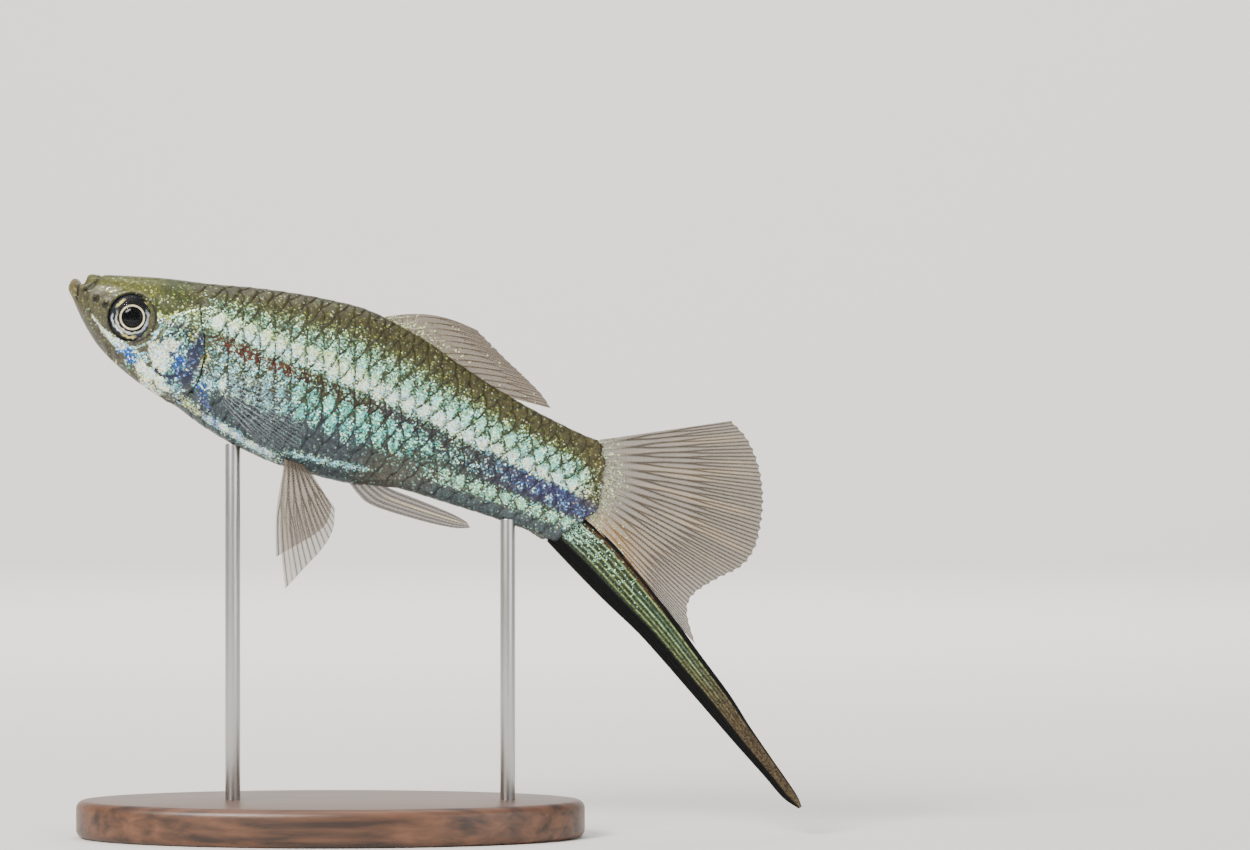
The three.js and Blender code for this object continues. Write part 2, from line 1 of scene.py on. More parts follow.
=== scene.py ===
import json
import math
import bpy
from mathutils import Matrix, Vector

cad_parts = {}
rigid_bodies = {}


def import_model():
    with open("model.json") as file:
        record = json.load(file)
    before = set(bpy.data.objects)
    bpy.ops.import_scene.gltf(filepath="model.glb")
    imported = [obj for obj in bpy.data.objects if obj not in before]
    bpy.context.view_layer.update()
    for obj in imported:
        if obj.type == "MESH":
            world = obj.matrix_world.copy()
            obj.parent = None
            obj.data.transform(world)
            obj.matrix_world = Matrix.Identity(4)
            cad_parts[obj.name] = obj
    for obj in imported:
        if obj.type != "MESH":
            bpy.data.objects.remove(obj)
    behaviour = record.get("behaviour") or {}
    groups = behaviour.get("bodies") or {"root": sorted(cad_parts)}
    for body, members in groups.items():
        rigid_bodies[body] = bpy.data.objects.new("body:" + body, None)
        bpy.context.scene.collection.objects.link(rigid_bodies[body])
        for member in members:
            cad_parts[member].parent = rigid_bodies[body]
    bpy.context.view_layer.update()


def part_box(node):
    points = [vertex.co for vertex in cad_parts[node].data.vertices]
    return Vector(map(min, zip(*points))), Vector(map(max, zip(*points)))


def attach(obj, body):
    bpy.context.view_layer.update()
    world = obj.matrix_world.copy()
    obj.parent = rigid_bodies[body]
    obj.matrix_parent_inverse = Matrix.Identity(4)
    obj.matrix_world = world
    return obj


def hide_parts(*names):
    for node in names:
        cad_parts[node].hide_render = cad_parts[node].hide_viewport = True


bl_info = {
    "name": "Swordtail Model",
    "version": (1, 0, 0),
    "blender": (4, 5, 0),
    "location": "3D View > Sidebar > Swordtail",
    "description": "A life-size male swordtail on a plain display stand",
    "category": "Object",
}

import bpy
import numpy as np
from mathutils import Vector

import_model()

MM = 0.001

# The fish's own frame: along the body from the chin tip to the tail, and up from that axis, in
# percent of the body length. The left flank is on the near side. It is tipped nose up.
BODY_LENGTH = 60.0
PERCENT = BODY_LENGTH / 100
NOSE_UP = math.radians(21)
NOSE_X = -28.0
SWORD_CLEARANCE = 3.0
SWORD_TIP = (153.9, -39.5)

BACK_LINE = [
    (0, 0.9), (0.25, 1.7), (0.8, 2.5), (2.3, 3.5), (4.2, 4.3), (9.7, 6.2), (15.5, 8), (23.4, 10),
    (31.8, 12.4), (42.6, 14.7), (51, 15.7), (61.4, 14.5), (69.8, 12.5), (78.1, 10.7), (88, 9.3),
    (96, 8.7), (104, 8.9),
]
BELLY_LINE = [
    (0, 0.7), (0.25, 0), (1.45, -1.1), (2.8, -2.5), (5.2, -4.8), (9.4, -7.8), (16.1, -10.5),
    (21.2, -11.8), (25.5, -12.6), (31.5, -14.2), (38.2, -15.3), (44.6, -15.7), (52, -15.2),
    (58.4, -14.4), (63, -13.1), (68.2, -11.9), (75.3, -11.4), (85.5, -10.8), (91, -10.7),
    (96, -11), (104, -11.6),
]
HALF_WIDTH = [
    (0, 0), (0.25, 1.3), (0.8, 2), (1.7, 2.7), (3.3, 3.45), (5.2, 4.1), (8, 4.85), (11, 5.5),
    (15, 6.2), (20, 6.8), (26, 7.15), (34, 7.25), (42, 7), (52, 6.2), (62, 4.95), (72, 3.8),
    (82, 2.85), (91, 1.95), (97, 1.25), (104, 0.85),
]
WIDEST_LEVEL = [
    (0, 0.8), (5, 0.9), (13, 0.6), (25, 0), (40, -1.2), (56, 0), (75, -0.2), (104, -1.2),
]
BACK_ROUNDNESS = [(0, 2.2), (8, 2.8), (20, 2.6), (35, 2.15), (60, 1.95), (104, 2)]
BELLY_ROUNDNESS = [(0, 2.3), (10, 2), (30, 1.95), (46, 2.1), (60, 1.85), (104, 2)]
TAIL_ROOT = {"tip": 101.6, "level": -0.4, "bend": 0.055}

GILL_COVER_REAR = [(23.6, 6.2), (25, 2.8), (26.6, 0.4), (27.9, -4.4), (27.6, -8.4), (25.2, -11.6)]
GILL_COVER_FRONT = [(20.6, -10.4), (18.9, -6.6), (18.3, -2.2), (19, 1.8), (21.2, 4.4)]
JAW_SEAM = [(3.3, 0.9), (6, -2.7), (8.9, -4.7), (11.2, -7), (12.2, -9.6)]
EYE_CENTRE = (13.2, -0.45)
# The middle of an eyeball from the midplane, in millimetres.
EYE_OUT = 2.8
MOUTH_CORNER = (3.3, 0.9)
LOWER_LIP_FRONT = (0.95, 1.55)
UPPER_LIP_FRONT = (3.6, 3.35)
NOSTRILS = [(5.9, 0.3), (7.9, -0.1)]
# The midline stripe: its place along the body, and its share of the way from back to belly.
STRIPE = [
    (27, 0.4), (34, 0.415), (44, 0.435), (54, 0.47), (64, 0.487), (75, 0.508), (85, 0.53),
    (100, 0.545),
]

# How the scales lie: rows round the whole body, and the pitch along one row.
SCALE_ROWS = 18
SCALE_PITCH = 2.9
FIRST_SCALE, LAST_SCALE = 17.0, 103.0
COAT_DEPTH = 0.07

# Sizes of the patterns in the materials, in millimetres.
SKIN_GRAIN = 0.16
SILVER_GRAIN = 0.17
SWORD_GRAIN = 0.14
PIGMENT_CLOUD = 0.55
IRIS_FLECK = 0.35
GROWTH_LINE = 1.1
WOOD_PORE = 0.2
DRAWN_LINE = 0.08

# The OFBake map unrolls the skin: along the body by round it, the back in the middle. A scale
# is a patch twice this large at its root's place.
PATCH = 0.0015


# Shape of the body.


def smooth_curve(stations):
    """A curve through (x, y) stations that never overshoots between them."""
    x, y = np.array(stations, float).T
    slope = np.diff(y) / np.diff(x)
    before = np.concatenate([slope[:1], slope])
    after = np.concatenate([slope, slope[-1:]])
    total = np.where(before + after == 0, 1, before + after)
    tangent = np.where(before * after <= 0, 0, 2 * before * after / total)

    def at(value):
        value = np.clip(value, x[0], x[-1])
        i = np.clip(np.searchsorted(x, value, side="right") - 1, 0, len(x) - 2)
        width = x[i + 1] - x[i]
        t = (value - x[i]) / width
        step = (y[i + 1] - y[i]) * (3 - 2 * t) * t * t
        bend = t * (1 - t) ** 2 * tangent[i] + t * t * (t - 1) * tangent[i + 1]
        return y[i] + step + bend * width

    return at


back_line = smooth_curve(BACK_LINE)
belly_line = smooth_curve(BELLY_LINE)
half_width = smooth_curve(HALF_WIDTH)
widest_level = smooth_curve(WIDEST_LEVEL)
back_roundness = smooth_curve(BACK_ROUNDNESS)
belly_roundness = smooth_curve(BELLY_ROUNDNESS)
stripe_place = smooth_curve(STRIPE)


def tail_root(level):
    """Where the scaled body ends at a level."""
    return TAIL_ROOT["tip"] - TAIL_ROOT["bend"] * (level - TAIL_ROOT["level"]) ** 2


def section(along, turn, grow=0.0):
    """Points on the skin, in percent. The turn runs from the back, 0, down the left flank to the
    belly, pi, and through negative turns down the right flank."""
    up, out = np.cos(turn), np.sin(turn)
    level = widest_level(along)
    power = 2 / np.where(up >= 0, back_roundness(along), belly_roundness(along))
    reach = np.where(up >= 0, back_line(along) - level, level - belly_line(along)) + grow
    across = -(half_width(along) + grow) * np.sign(out) * np.abs(out) ** power
    return across, level + reach * np.sign(up) * np.abs(up) ** power


TURNS = np.linspace(0, math.pi, 181)
LAST_STATION = 104
GIRTH_STATIONS = np.linspace(1, LAST_STATION, 207)


def girth_table():
    """For each station, the share of the half girth that each turn has reached."""
    rows = []
    for along in GIRTH_STATIONS:
        across, level = section(np.full_like(TURNS, along), TURNS)
        steps = np.hypot(np.diff(across), np.diff(level))
        share = np.concatenate([[0], np.cumsum(steps)])
        rows.append(share / share[-1])
    return np.array(rows)


GIRTH = girth_table()


def between_stations(along):
    """The girth station before a place along the body, and how far it is to the next one."""
    spacing = GIRTH_STATIONS[1] - GIRTH_STATIONS[0]
    place = (np.asarray(along, float) - GIRTH_STATIONS[0]) / spacing
    place = np.clip(place, 0, len(GIRTH_STATIONS) - 1.001)
    row = place.astype(int)
    return row, place - row


def turn_of(along, girth):
    """The turn at a share of the girth: 0 is the back, 1 or -1 the belly, and plus is the left."""
    row, part = between_stations(along)
    side, share = np.sign(girth), np.abs(girth)
    found = np.empty_like(share)
    for r in np.unique(row):
        here = row == r
        low = np.interp(share[here], GIRTH[r], TURNS)
        high = np.interp(share[here], GIRTH[r + 1], TURNS)
        found[here] = low + (high - low) * part[here]
    return found * np.where(side == 0, 1, side)


def girth_of(along, across, level):
    """The share of the girth, without its side, at which a point near the skin lies."""
    middle = widest_level(along)
    above = level >= middle
    reach = np.where(above, back_line(along) - middle, middle - belly_line(along))
    power = np.where(above, back_roundness(along), belly_roundness(along)) / 2
    up = (np.abs(level - middle) / np.maximum(reach, 1e-3)) ** power
    out = (np.abs(across) / np.maximum(half_width(along), 1e-3)) ** power
    turn = np.arctan2(out, np.where(above, up, -up))
    row, _ = between_stations(along)
    share = np.empty_like(turn)
    for r in np.unique(row):
        here = row == r
        share[here] = np.interp(turn[here], TURNS, GIRTH[r])
    return share


def flank_at(along, level, grow=0.0):
    """How far the flank stands out at a level."""
    middle = widest_level(along)
    above = level >= middle
    reach = np.where(above, back_line(along) - middle, middle - belly_line(along)) + grow
    power = np.where(above, back_roundness(along), belly_roundness(along))
    inside = np.maximum(0, 1 - (np.abs(level - middle) / reach) ** power)
    return (half_width(along) + grow) * inside ** (1 / power)


def nose_height():
    """How high the nose is when the sword's tip clears the floor, in millimetres."""
    tip_along, tip_level = SWORD_TIP[0] * PERCENT, SWORD_TIP[1] * PERCENT
    return SWORD_CLEARANCE + tip_along * math.sin(NOSE_UP) - tip_level * math.cos(NOSE_UP)


NOSE_Z = nose_height()


def in_place(along, across, level):
    """Points of the fish's own frame, in percent, as metres in the row frame."""
    a, y, z = (np.asarray(part, float) * PERCENT for part in (along, across, level))
    x = NOSE_X + a * math.cos(NOSE_UP) + z * math.sin(NOSE_UP)
    up = NOSE_Z - a * math.sin(NOSE_UP) + z * math.cos(NOSE_UP)
    return np.stack([x, np.broadcast_to(y, x.shape), up], -1) * MM


def in_percent(points):
    """The reverse: points in metres as along, across and level, in percent."""
    x, y, z = (np.asarray(points, float) / MM).T
    x, z = x - NOSE_X, z - NOSE_Z
    along = x * math.cos(NOSE_UP) - z * math.sin(NOSE_UP)
    level = x * math.sin(NOSE_UP) + z * math.cos(NOSE_UP)
    return along / PERCENT, y / PERCENT, level / PERCENT


# Small helpers.


def rise(value, low, high):
    """A smooth step: 0 up to low, 1 from high on."""
    t = np.clip((value - low) / (high - low), 0, 1)
    return t * t * (3 - 2 * t)


def band(value, centre, half, soft):
    """1 within half of the centre, with soft edges."""
    return 1 - rise(np.abs(value - centre), half, half + soft)


def between(start, end, share):
    return start + (end - start) * share


def spot(along, level, centre, radii, turn=0.0):
    """A soft ellipse, seen from the side: 1 inside and 0 outside."""
    a, b = along - centre[0], level - centre[1]
    c, s = math.cos(math.radians(turn)), math.sin(math.radians(turn))
    far = np.hypot((a * c + b * s) / radii[0], (b * c - a * s) / radii[1])
    return 1 - rise(far, 0.55, 1.0)


def near_line(along, level, line):
    """How far a point lies from a side-view line, in percent."""
    far = np.full(np.shape(along), 1e9)
    for (x0, z0), (x1, z1) in zip(line[:-1], line[1:]):
        dx, dz = x1 - x0, z1 - z0
        t = np.clip(((along - x0) * dx + (level - z0) * dz) / (dx * dx + dz * dz), 0, 1)
        far = np.minimum(far, np.hypot(along - x0 - t * dx, level - z0 - t * dz))
    return far


def line_through(points, steps=8):
    """A smooth line through a few side-view points."""
    p = np.array([points[0], *points, points[-1]], float)
    out = []
    for i in range(1, len(p) - 2):
        for t in np.linspace(0, 1, steps, endpoint=False):
            a, b, c, d = p[i - 1], p[i], p[i + 1], p[i + 2]
            out.append(
                0.5 * (2 * b + (c - a) * t + (2 * a - 5 * b + 4 * c - d) * t * t
                       + (3 * b - a - 3 * c + d) * t ** 3)
            )
    out.append(p[-2])
    return np.array(out)


def along_line(line, share):
    """Points at shares of a line's own length."""
    line = np.asarray(line, float)
    steps = np.hypot(*np.diff(line, axis=0).T)
    reached = np.concatenate([[0], np.cumsum(steps)]) / steps.sum()
    return np.interp(share, reached, line[:, 0]), np.interp(share, reached, line[:, 1])


def linear(code):
    """An sRGB hex colour as the linear one that shaders read."""
    parts = [int(code[i:i + 2], 16) / 255 for i in (1, 3, 5)]
    return np.array([p / 12.92 if p <= 0.04045 else ((p + 0.055) / 1.055) ** 2.4 for p in parts])


def as_linear(colour):
    """A hex code turned linear. Linear parts stay as they are."""
    return linear(colour) if isinstance(colour, str) else np.asarray(colour)


def deselect():
    for obj in bpy.context.view_layer.objects.selected[:]:
        obj.select_set(False)


def only(obj):
    deselect()
    obj.select_set(True)
    bpy.context.view_layer.objects.active = obj


def coordinates(obj):
    co = np.empty(len(obj.data.vertices) * 3, np.float32)
    obj.data.vertices.foreach_get("co", co)
    return co.reshape(-1, 3).astype(float)


def move_to(obj, points):
    obj.data.vertices.foreach_set("co", np.asarray(points, np.float32).ravel())
    obj.data.update()


def settle(obj, name):
    """Names a piece and leaves its place in its mesh."""
    only(obj)
    bpy.ops.object.transform_apply(location=True, rotation=True, scale=True)
    obj.name = obj.data.name = name
    return obj


def edit_all(obj, *steps):
    """Runs edit-mode operators on a whole mesh, each given with its settings."""
    only(obj)
    bpy.ops.object.mode_set(mode="EDIT")
    bpy.ops.mesh.select_all(action="SELECT")
    for operator, settings in steps:
        operator(**settings)
    bpy.ops.object.mode_set(mode="OBJECT")


def face_outwards(obj):
    edit_all(obj, (bpy.ops.mesh.normals_make_consistent, {"inside": False}))


def finish_with(obj, kind, **settings):
    """Adds a modifier and applies it."""
    only(obj)
    modifier = obj.modifiers.new(kind.title(), kind)
    for key, value in settings.items():
        setattr(modifier, key, value)
    bpy.ops.object.modifier_apply(modifier=modifier.name)


def keep_colour(obj, name, colour):
    """Stores a colour on every corner point."""
    layer = obj.data.color_attributes.new(name, "FLOAT_COLOR", "POINT")
    rgba = np.ones((len(colour), 4), np.float32)
    rgba[:, :3] = colour
    layer.data.foreach_set("color", rgba.ravel())


def keep_value(obj, name, value):
    layer = obj.data.attributes.new(name, "FLOAT", "POINT")
    layer.data.foreach_set("value", np.asarray(value, np.float32))


def keep_uv(obj, name, u, v):
    """Stores a UV map from values kept per vertex."""
    layer = obj.data.uv_layers.new(name=name)
    corner = np.empty(len(obj.data.loops), np.int32)
    obj.data.loops.foreach_get("vertex_index", corner)
    layer.data.foreach_set("uv", np.stack([u[corner], v[corner]], -1).astype(np.float32).ravel())


def unrolled(along, girth):
    """A point's place on the OFBake map."""
    return along / 110 + 0.02, 0.5 + 0.47 * girth


def mesh_piece(name, points, faces):
    mesh = bpy.data.meshes.new(name)
    mesh.from_pydata(np.asarray(points).tolist(), [], faces)
    mesh.validate()
    obj = bpy.data.objects.new(name, mesh)
    bpy.context.scene.collection.objects.link(obj)
    return obj


def ring_faces(count, sides):
    """The faces of a tube of rings that have as many points each as it has sides."""
    faces = []
    for low in range(0, (count - 1) * sides, sides):
        for j in range(sides):
            k = (j + 1) % sides
            faces.append((low + j, low + k, low + sides + k, low + sides + j))
    return faces


def smooth(obj):
    only(obj)
    bpy.ops.object.shade_smooth()


def smooth_by_angle(obj, degrees=40):
    only(obj)
    bpy.ops.object.shade_smooth_by_angle(angle=math.radians(degrees))


def wear(obj, material, slot, *nodes):
    """Gives a finished piece its material and hides the nodes it stands for. The slot is not used."""
    if not obj.data.polygons:
        raise RuntimeError(f"{obj.name} has no faces")
    obj.data.materials.clear()
    obj.data.materials.append(material)
    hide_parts(*nodes)
    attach(obj, "root")
    return obj


# Markings.


# Colours of the skin's pigment, from dark to clear, named for where they lie. Rim is not
# pigment: it is the near-black of painted shade in the face's grooves, pits and eye sockets.
GROUND = {
    name: linear(code) for name, code in {
        "crown": "#4e4e1e", "nape": "#343a17", "back": "#3e3a25", "flank": "#3f4631",
        "low": "#393e39", "clear": "#394045", "rear": "#494841", "snout": "#454230",
        "jaw": "#4a473c", "throat": "#4a4736", "rust": "#50261a", "brown": "#3a2a1e",
        "dusk": "#302d36", "violet": "#37376a", "margin": "#4a4128", "gape": "#6b4638",
        "rim": "#0c0c0c", "lip": "#5a5134", "keel": "#37434a", "root": "#4a432c",
        "navy": "#0d1130", "silver": "#232c48", "shaded": "#181c17",
    }.items()
}
# Colours of the bright grains.
SPARK = {
    name: linear(code) for name, code in {
        "mint": "#c4f8dc", "cyan": "#a4ecf4", "lime": "#dfeb8c", "white": "#ffffff",
        "ice": "#bfe8ff", "cobalt": "#2f74ee", "turquoise": "#98f4ea", "violet": "#7c86f0",
        "gold": "#efe39c",
    }.items()
}
# Lines along the lips' edges, grooved into the skin, where painted shade lies.
LIP_EDGES = [
    [(1.9, 2.4), (2.1, 1.2), (2.3, 0.2), (2.6, -0.9)],
    [(4.9, 4.8), (4.7, 3.0), (4.1, 1.8), (3.3, 0.9)],
]
KEEL = [(24.5, -10.6), (29, -11.6), (34, -12.7), (40, -13.9), (46, -14.6)]
CHEEK_BAND = [(6.2, -2.7), (8.9, -4.4), (11.2, -5.4), (14.0, -6.0), (17.0, -6.9)]
# Head marks: middle, radii and turn as seen from the side, colour, and how dense it lies.
HEAD_MARKS = [
    ((14.6, -6.7), (3.6, 1.5), -24, "cobalt", 0.8),
    ((12.4, -5.5), (2.4, 0.7), -22, "white", 1.0),
    ((15.6, -5.5), (2.6, 0.5), -6, "ice", 0.9),
    ((17.2, -6.4), (1.8, 1.5), 0, "ice", 0.8),
    ((19.0, -4.2), (2.0, 2.2), 0, "white", 0.85),
    ((18.6, -8.6), (2.8, 1.8), -20, "white", 1.0),
    ((20.0, -10.8), (3.0, 1.0), -22, "white", 0.9),
    ((15.2, -9.0), (1.5, 1.0), -30, "cyan", 0.35),
    ((17.6, 1.7), (1.4, 0.7), -70, "lime", 0.9),
    ((18.9, 1.0), (1.8, 1.1), 10, "white", 0.75),
    ((20.4, 2.4), (2.2, 1.2), 15, "lime", 0.6),
    ((19.8, -0.4), (1.5, 1.2), 0, "mint", 0.5),
    ((22.8, 3.8), (2.2, 1.4), -20, "lime", 0.5),
    ((24.6, 2.6), (1.6, 1.4), -30, "mint", 0.55),
    ((17.9, -1.6), (0.4, 1.7), -28, "ice", 0.95),
    ((12.9, -9.0), (0.6, 0.3), -40, "gold", 1.0),
    ((7.5, 2.8), (2.6, 0.7), 8, "gold", 0.22),
    ((13.0, 5.3), (5.0, 0.8), 6, "lime", 0.12),
]
PLATE_MARKS = [
    ((21.6, 2.6), (2.6, 1.8), 20, "mint", 0.5),
    ((24.6, 0.8), (1.6, 2.0), 10, "lime", 0.4),
    ((21.4, -2.6), (2.3, 1.4), 20, "white", 0.9),
    ((20.4, -5.8), (2.4, 3.0), -10, "white", 1.0),
    ((22.0, -9.6), (2.8, 1.5), -20, "white", 1.0),
    ((23.6, -4.8), (1.3, 2.3), 25, "cobalt", 0.66),
    ((24.8, -6.6), (1.8, 1.1), 35, "cobalt", 0.5),
    ((25.0, -9.6), (1.8, 1.2), -10, "ice", 0.6),
]
PLATE_LINE = [(20.4, -7.6), (21.8, -8.2), (23.4, -7.7), (24.9, -6.2)]
SHOULDER_MARKS = [
    ((29.6, -6.8), (2.7, 2.2), 20, "ice", 0.8),
    ((29.4, -8.2), (1.9, 1.2), -20, "cobalt", 0.6),
    ((30.4, -9.9), (2.6, 1.0), -15, "violet", 0.25),
    ((32.6, -5.6), (0.55, 2.6), 8, "white", 1.0),
    ((27.9, -2.6), (0.7, 2.4), 6, "gold", 0.5),
]


def lay(base, colour, weight):
    return base + (colour - base) * np.asarray(weight)[:, None]


def layered(points, base, *layers):
    """A colour for each point: the base, with each colour laid over it in turn by its weight."""
    tone = np.tile(as_linear(base), (len(points), 1))
    for colour, weight in layers:
        tone = lay(tone, as_linear(colour), weight)
    return tone


def wander(along, level, pitch, seed):
    """A smooth uneven field from -1 to 1, for edges that aren't drawn with a compass."""
    total = 0
    for k in range(5):
        turn = seed + 2.4 * k
        step = 2 * math.pi / (pitch * (0.6 + 0.25 * k))
        total = total + np.sin(step * (along * math.cos(turn) + level * math.sin(turn)) + 3.7 * turn)
    return total / 3.2


class Coat:
    """What each point of a body mesh shows: the ground colour, the colour of the bright grains in
    it, and how dense they lie, from 0 to 1."""

    def __init__(self, along, level, girth, ground, spark):
        self.along, self.level, self.girth = along, level, girth
        self.ground = np.tile(GROUND[ground], (len(along), 1))
        self.spark = np.tile(SPARK[spark], (len(along), 1))
        self.dense = np.zeros(len(along))

    def tint(self, colour, weight):
        self.ground = lay(self.ground, GROUND[colour], weight)

    def light(self, colour, weight):
        self.spark = lay(self.spark, SPARK[colour], weight)

    def thin(self, share):
        """Takes a share of the grains away."""
        self.dense = self.dense * (1 - share)

    def turn_to(self, density, weight):
        self.dense = between(self.dense, density, weight)

    def fill_up_to(self, density, weight=1.0):
        """Adds grains where they lie less dense than this."""
        self.dense = self.dense + np.maximum(0, density - self.dense) * weight

    def put(self, marks, where=True):
        """Lays patches of grains, with uneven edges."""
        a = self.along + 0.45 * wander(self.along, self.level, 2.2, 1.0)
        b = self.level + 0.45 * wander(self.along, self.level, 2.2, 4.0)
        for centre, radii, turn, colour, density in marks:
            here = spot(a, b, centre, radii, turn) * where
            self.light(colour, here)
            self.turn_to(density, here)

    def keep(self, obj):
        keep_colour(obj, "ground", self.ground)
        keep_colour(obj, "spark", self.spark)
        keep_value(obj, "dense", self.dense)


def markings(along, level, girth, cell, edge, own):
    """The coat of body points. The cell is how near a point is to the middle of its scale, the edge
    how much painted shade from a scale's rear edge lies on it, both from 0 to 1, and each scale has
    its own brightness about 1."""
    coat = Coat(along, level, girth, "back", "lime")
    # How far a point lies over the midline stripe, as a share of the girth.
    over = stripe_place(along) - girth + 0.008 * wander(along, level, 5, 2.0)
    bright = band(over, 0.066, 0.028, 0.04)
    lay_pigment(coat)
    mark_flank(coat, over, bright, cell, own)
    mark_under_stripe(coat, over, cell, own)
    mark_belly(coat)
    mark_head(coat)
    mark_face(coat)
    mark_tail_end(coat)

    # Painted shade: the scales' rear edges darken the ground and hide grains, less on the belly and in
    # the bright band just above the stripe.
    edge = edge * (1 - 0.85 * rise(girth, 0.6, 0.72)) * (1 - 0.5 * bright)
    coat.ground = np.clip(coat.ground * (1 - 0.42 * edge)[:, None], 0, 1)
    coat.spark = np.clip(coat.spark, 0, 1)
    coat.dense = np.clip(coat.dense * (1 - 0.75 * edge), 0, 1)
    return coat


def lay_pigment(coat):
    """The ground's zones from back to belly."""
    along, girth = coat.along, coat.girth
    coat.tint("flank", rise(girth, 0.12, 0.3))
    coat.tint("low", rise(girth, 0.52, 0.66))
    coat.tint("clear", rise(girth, 0.6, 0.68) * band(along, 43, 13, 8))
    coat.tint("rear", rise(girth, 0.7, 0.86) * rise(along, 56, 66))
    coat.tint("margin", rise(girth, 0.94, 0.99) * (1 - rise(along, 44, 56)))


def mark_flank(coat, over, bright, cell, own):
    """The midline stripe, rust in front, dusky behind and violet at the tail's root. Over it lie
    bright grains, sparse and lime near the back, dense mint and cyan lower down."""
    along, level, girth = coat.along, coat.level, coat.girth
    line = band(over, -0.035, 0.02, 0.032) * rise(along, 21, 27)
    coat.tint("rust", line * band(along, 37, 6, 6) * 0.9)
    coat.tint("brown", line * band(along, 53, 7, 8) * 0.8)
    behind = rise(along, 58, 80)
    wide = band(over, -0.035 - 0.045 * behind, 0.02 + 0.06 * behind, 0.035) * rise(along, 46, 60)
    coat.tint("dusk", wide * rise(along, 52, 64) * 0.75)
    tail_patch = wide * rise(along, 78, 93) * (1 - 0.6 * rise(-over, 0.08, 0.16))
    coat.tint("violet", tail_patch * 0.5)

    coat.light("mint", rise(girth, 0.17, 0.27))
    coat.light("cyan", rise(girth, 0.24, 0.36) * (0.35 + 0.3 * wander(along, level, 7, 5)))
    upper = 0.04 + 0.58 * rise(girth, 0.12, 0.36)
    upper = upper + 0.1 * rise(along, 58, 72) * band(girth, 0.34, 0.08, 0.08)
    coat.dense = upper * (0.3 + 1.05 * cell) * (0.7 + 0.3 * own)
    glow = bright * (0.66 + 0.34 * rise(cell, 0.1, 0.7))
    coat.turn_to(1, glow * (0.8 + 0.14 * np.clip(own, 0.6, 1.4)))
    coat.light("white", bright * (0.4 + 0.45 * cell))
    coat.light("lime", band(over, 0.1, 0.015, 0.03) * (1 - rise(along, 48, 66)) * 0.5)
    coat.thin(0.66 * line)
    coat.thin(wide * (0.54 - 0.24 * cell))
    coat.light("violet", wide * rise(along, 72, 88) * 0.6)
    coat.light("cobalt", tail_patch * 0.2)


def mark_under_stripe(coat, over, cell, own):
    """Below the stripe a silver shoulder, then separate turquoise blobs, one on each scale. The
    tail's root keeps grains nearly down to its lower edge."""
    along, girth = coat.along, coat.girth
    under = band(over, -0.15, 0.075, 0.045)
    coat.thin(0.95 * rise(girth, 0.63, 0.72))
    row = under * band(along, 51, 12, 8)
    coat.thin(0.6 * row * (1 - rise(cell, 0.3, 0.6)))
    coat.fill_up_to(0.76 * own ** 0.3, row * rise(cell, 0.42, 0.8))
    coat.light("turquoise", under * rise(along, 36, 46) * (1 - rise(along, 66, 76)))
    shoulder = band(along, 34, 6, 8) * band(girth, 0.57, 0.06, 0.07)
    coat.turn_to(0.2 + 0.46 * cell, shoulder)
    coat.light("ice", shoulder * 0.75)

    lower = rise(along, 66, 78) * band(girth, 0.785, 0.035, 0.045)
    coat.fill_up_to(0.25 + 0.65 * cell, lower)
    coat.light("mint", lower * 0.8)
    coat.tint("keel", rise(along, 64, 76) * band(girth, 0.915, 0.04, 0.05) * 0.7)


def mark_belly(coat):
    """The bright keel, from the throat to the pelvic fins and thinner behind, and the shoulder."""
    along, level, girth = coat.along, coat.level, coat.girth
    from_keel = near_line(along, level, KEEL)
    keel = band(from_keel, 0, 0.5, 0.6) * (1 - rise(along, 44, 48))
    thin = band(girth, 0.865, 0.008, 0.014) * band(along, 54, 6, 3)
    coat.fill_up_to(np.maximum(keel * (0.75 + 0.25 * rise(along, 29, 33)), thin))
    coat.light("ice", np.maximum(keel, thin))
    coat.light("white", band(from_keel, 0, 0.3, 0.4) * keel * 0.8)
    coat.light("gold", keel * (1 - rise(along, 29, 34)) * 0.7)
    coat.light("cobalt", keel * band(wander(along, level, 4, 3), 0.9, 0.3, 0.4) * 0.6)
    coat.put(SHOULDER_MARKS)


def mark_head(coat):
    """Olive crown, clear grey snout and jaw, bare of grains but for a silver cheek band and the
    head's own marks."""
    along, level = coat.along, coat.level
    head = 1 - rise(along, 21, 27)
    above = rise(level, 0.8, 4.4)
    tone = layered(
        along, GROUND["snout"],
        (GROUND["crown"], above),
        (GROUND["nape"], rise(level, -0.5, 2.5) * rise(along, 13, 18)),
        (GROUND["back"], above * rise(along, 18, 25)),
        (GROUND["jaw"], 1 - rise(level, -4.0, -1.6)),
        (GROUND["throat"], 1 - rise(level, -11, -8)),
        (GROUND["lip"], 1 - rise(along, 1.6, 3.6)),
    )
    coat.ground = lay(coat.ground, tone, head)
    coat.thin(head)
    coat.light("lime", head)
    coat.dense = coat.dense + 0.07 * head * above
    from_cheek = near_line(along, level, line_through(CHEEK_BAND))
    cheek = (1 - rise(from_cheek / (0.25 + 0.5 * rise(along, 7, 12)), 0.6, 1.3)) * head
    coat.fill_up_to(cheek)
    coat.light("ice", cheek)
    coat.light("white", cheek * (1 - rise(along, 10, 12)))
    coat.put(HEAD_MARKS, along < 27.5)


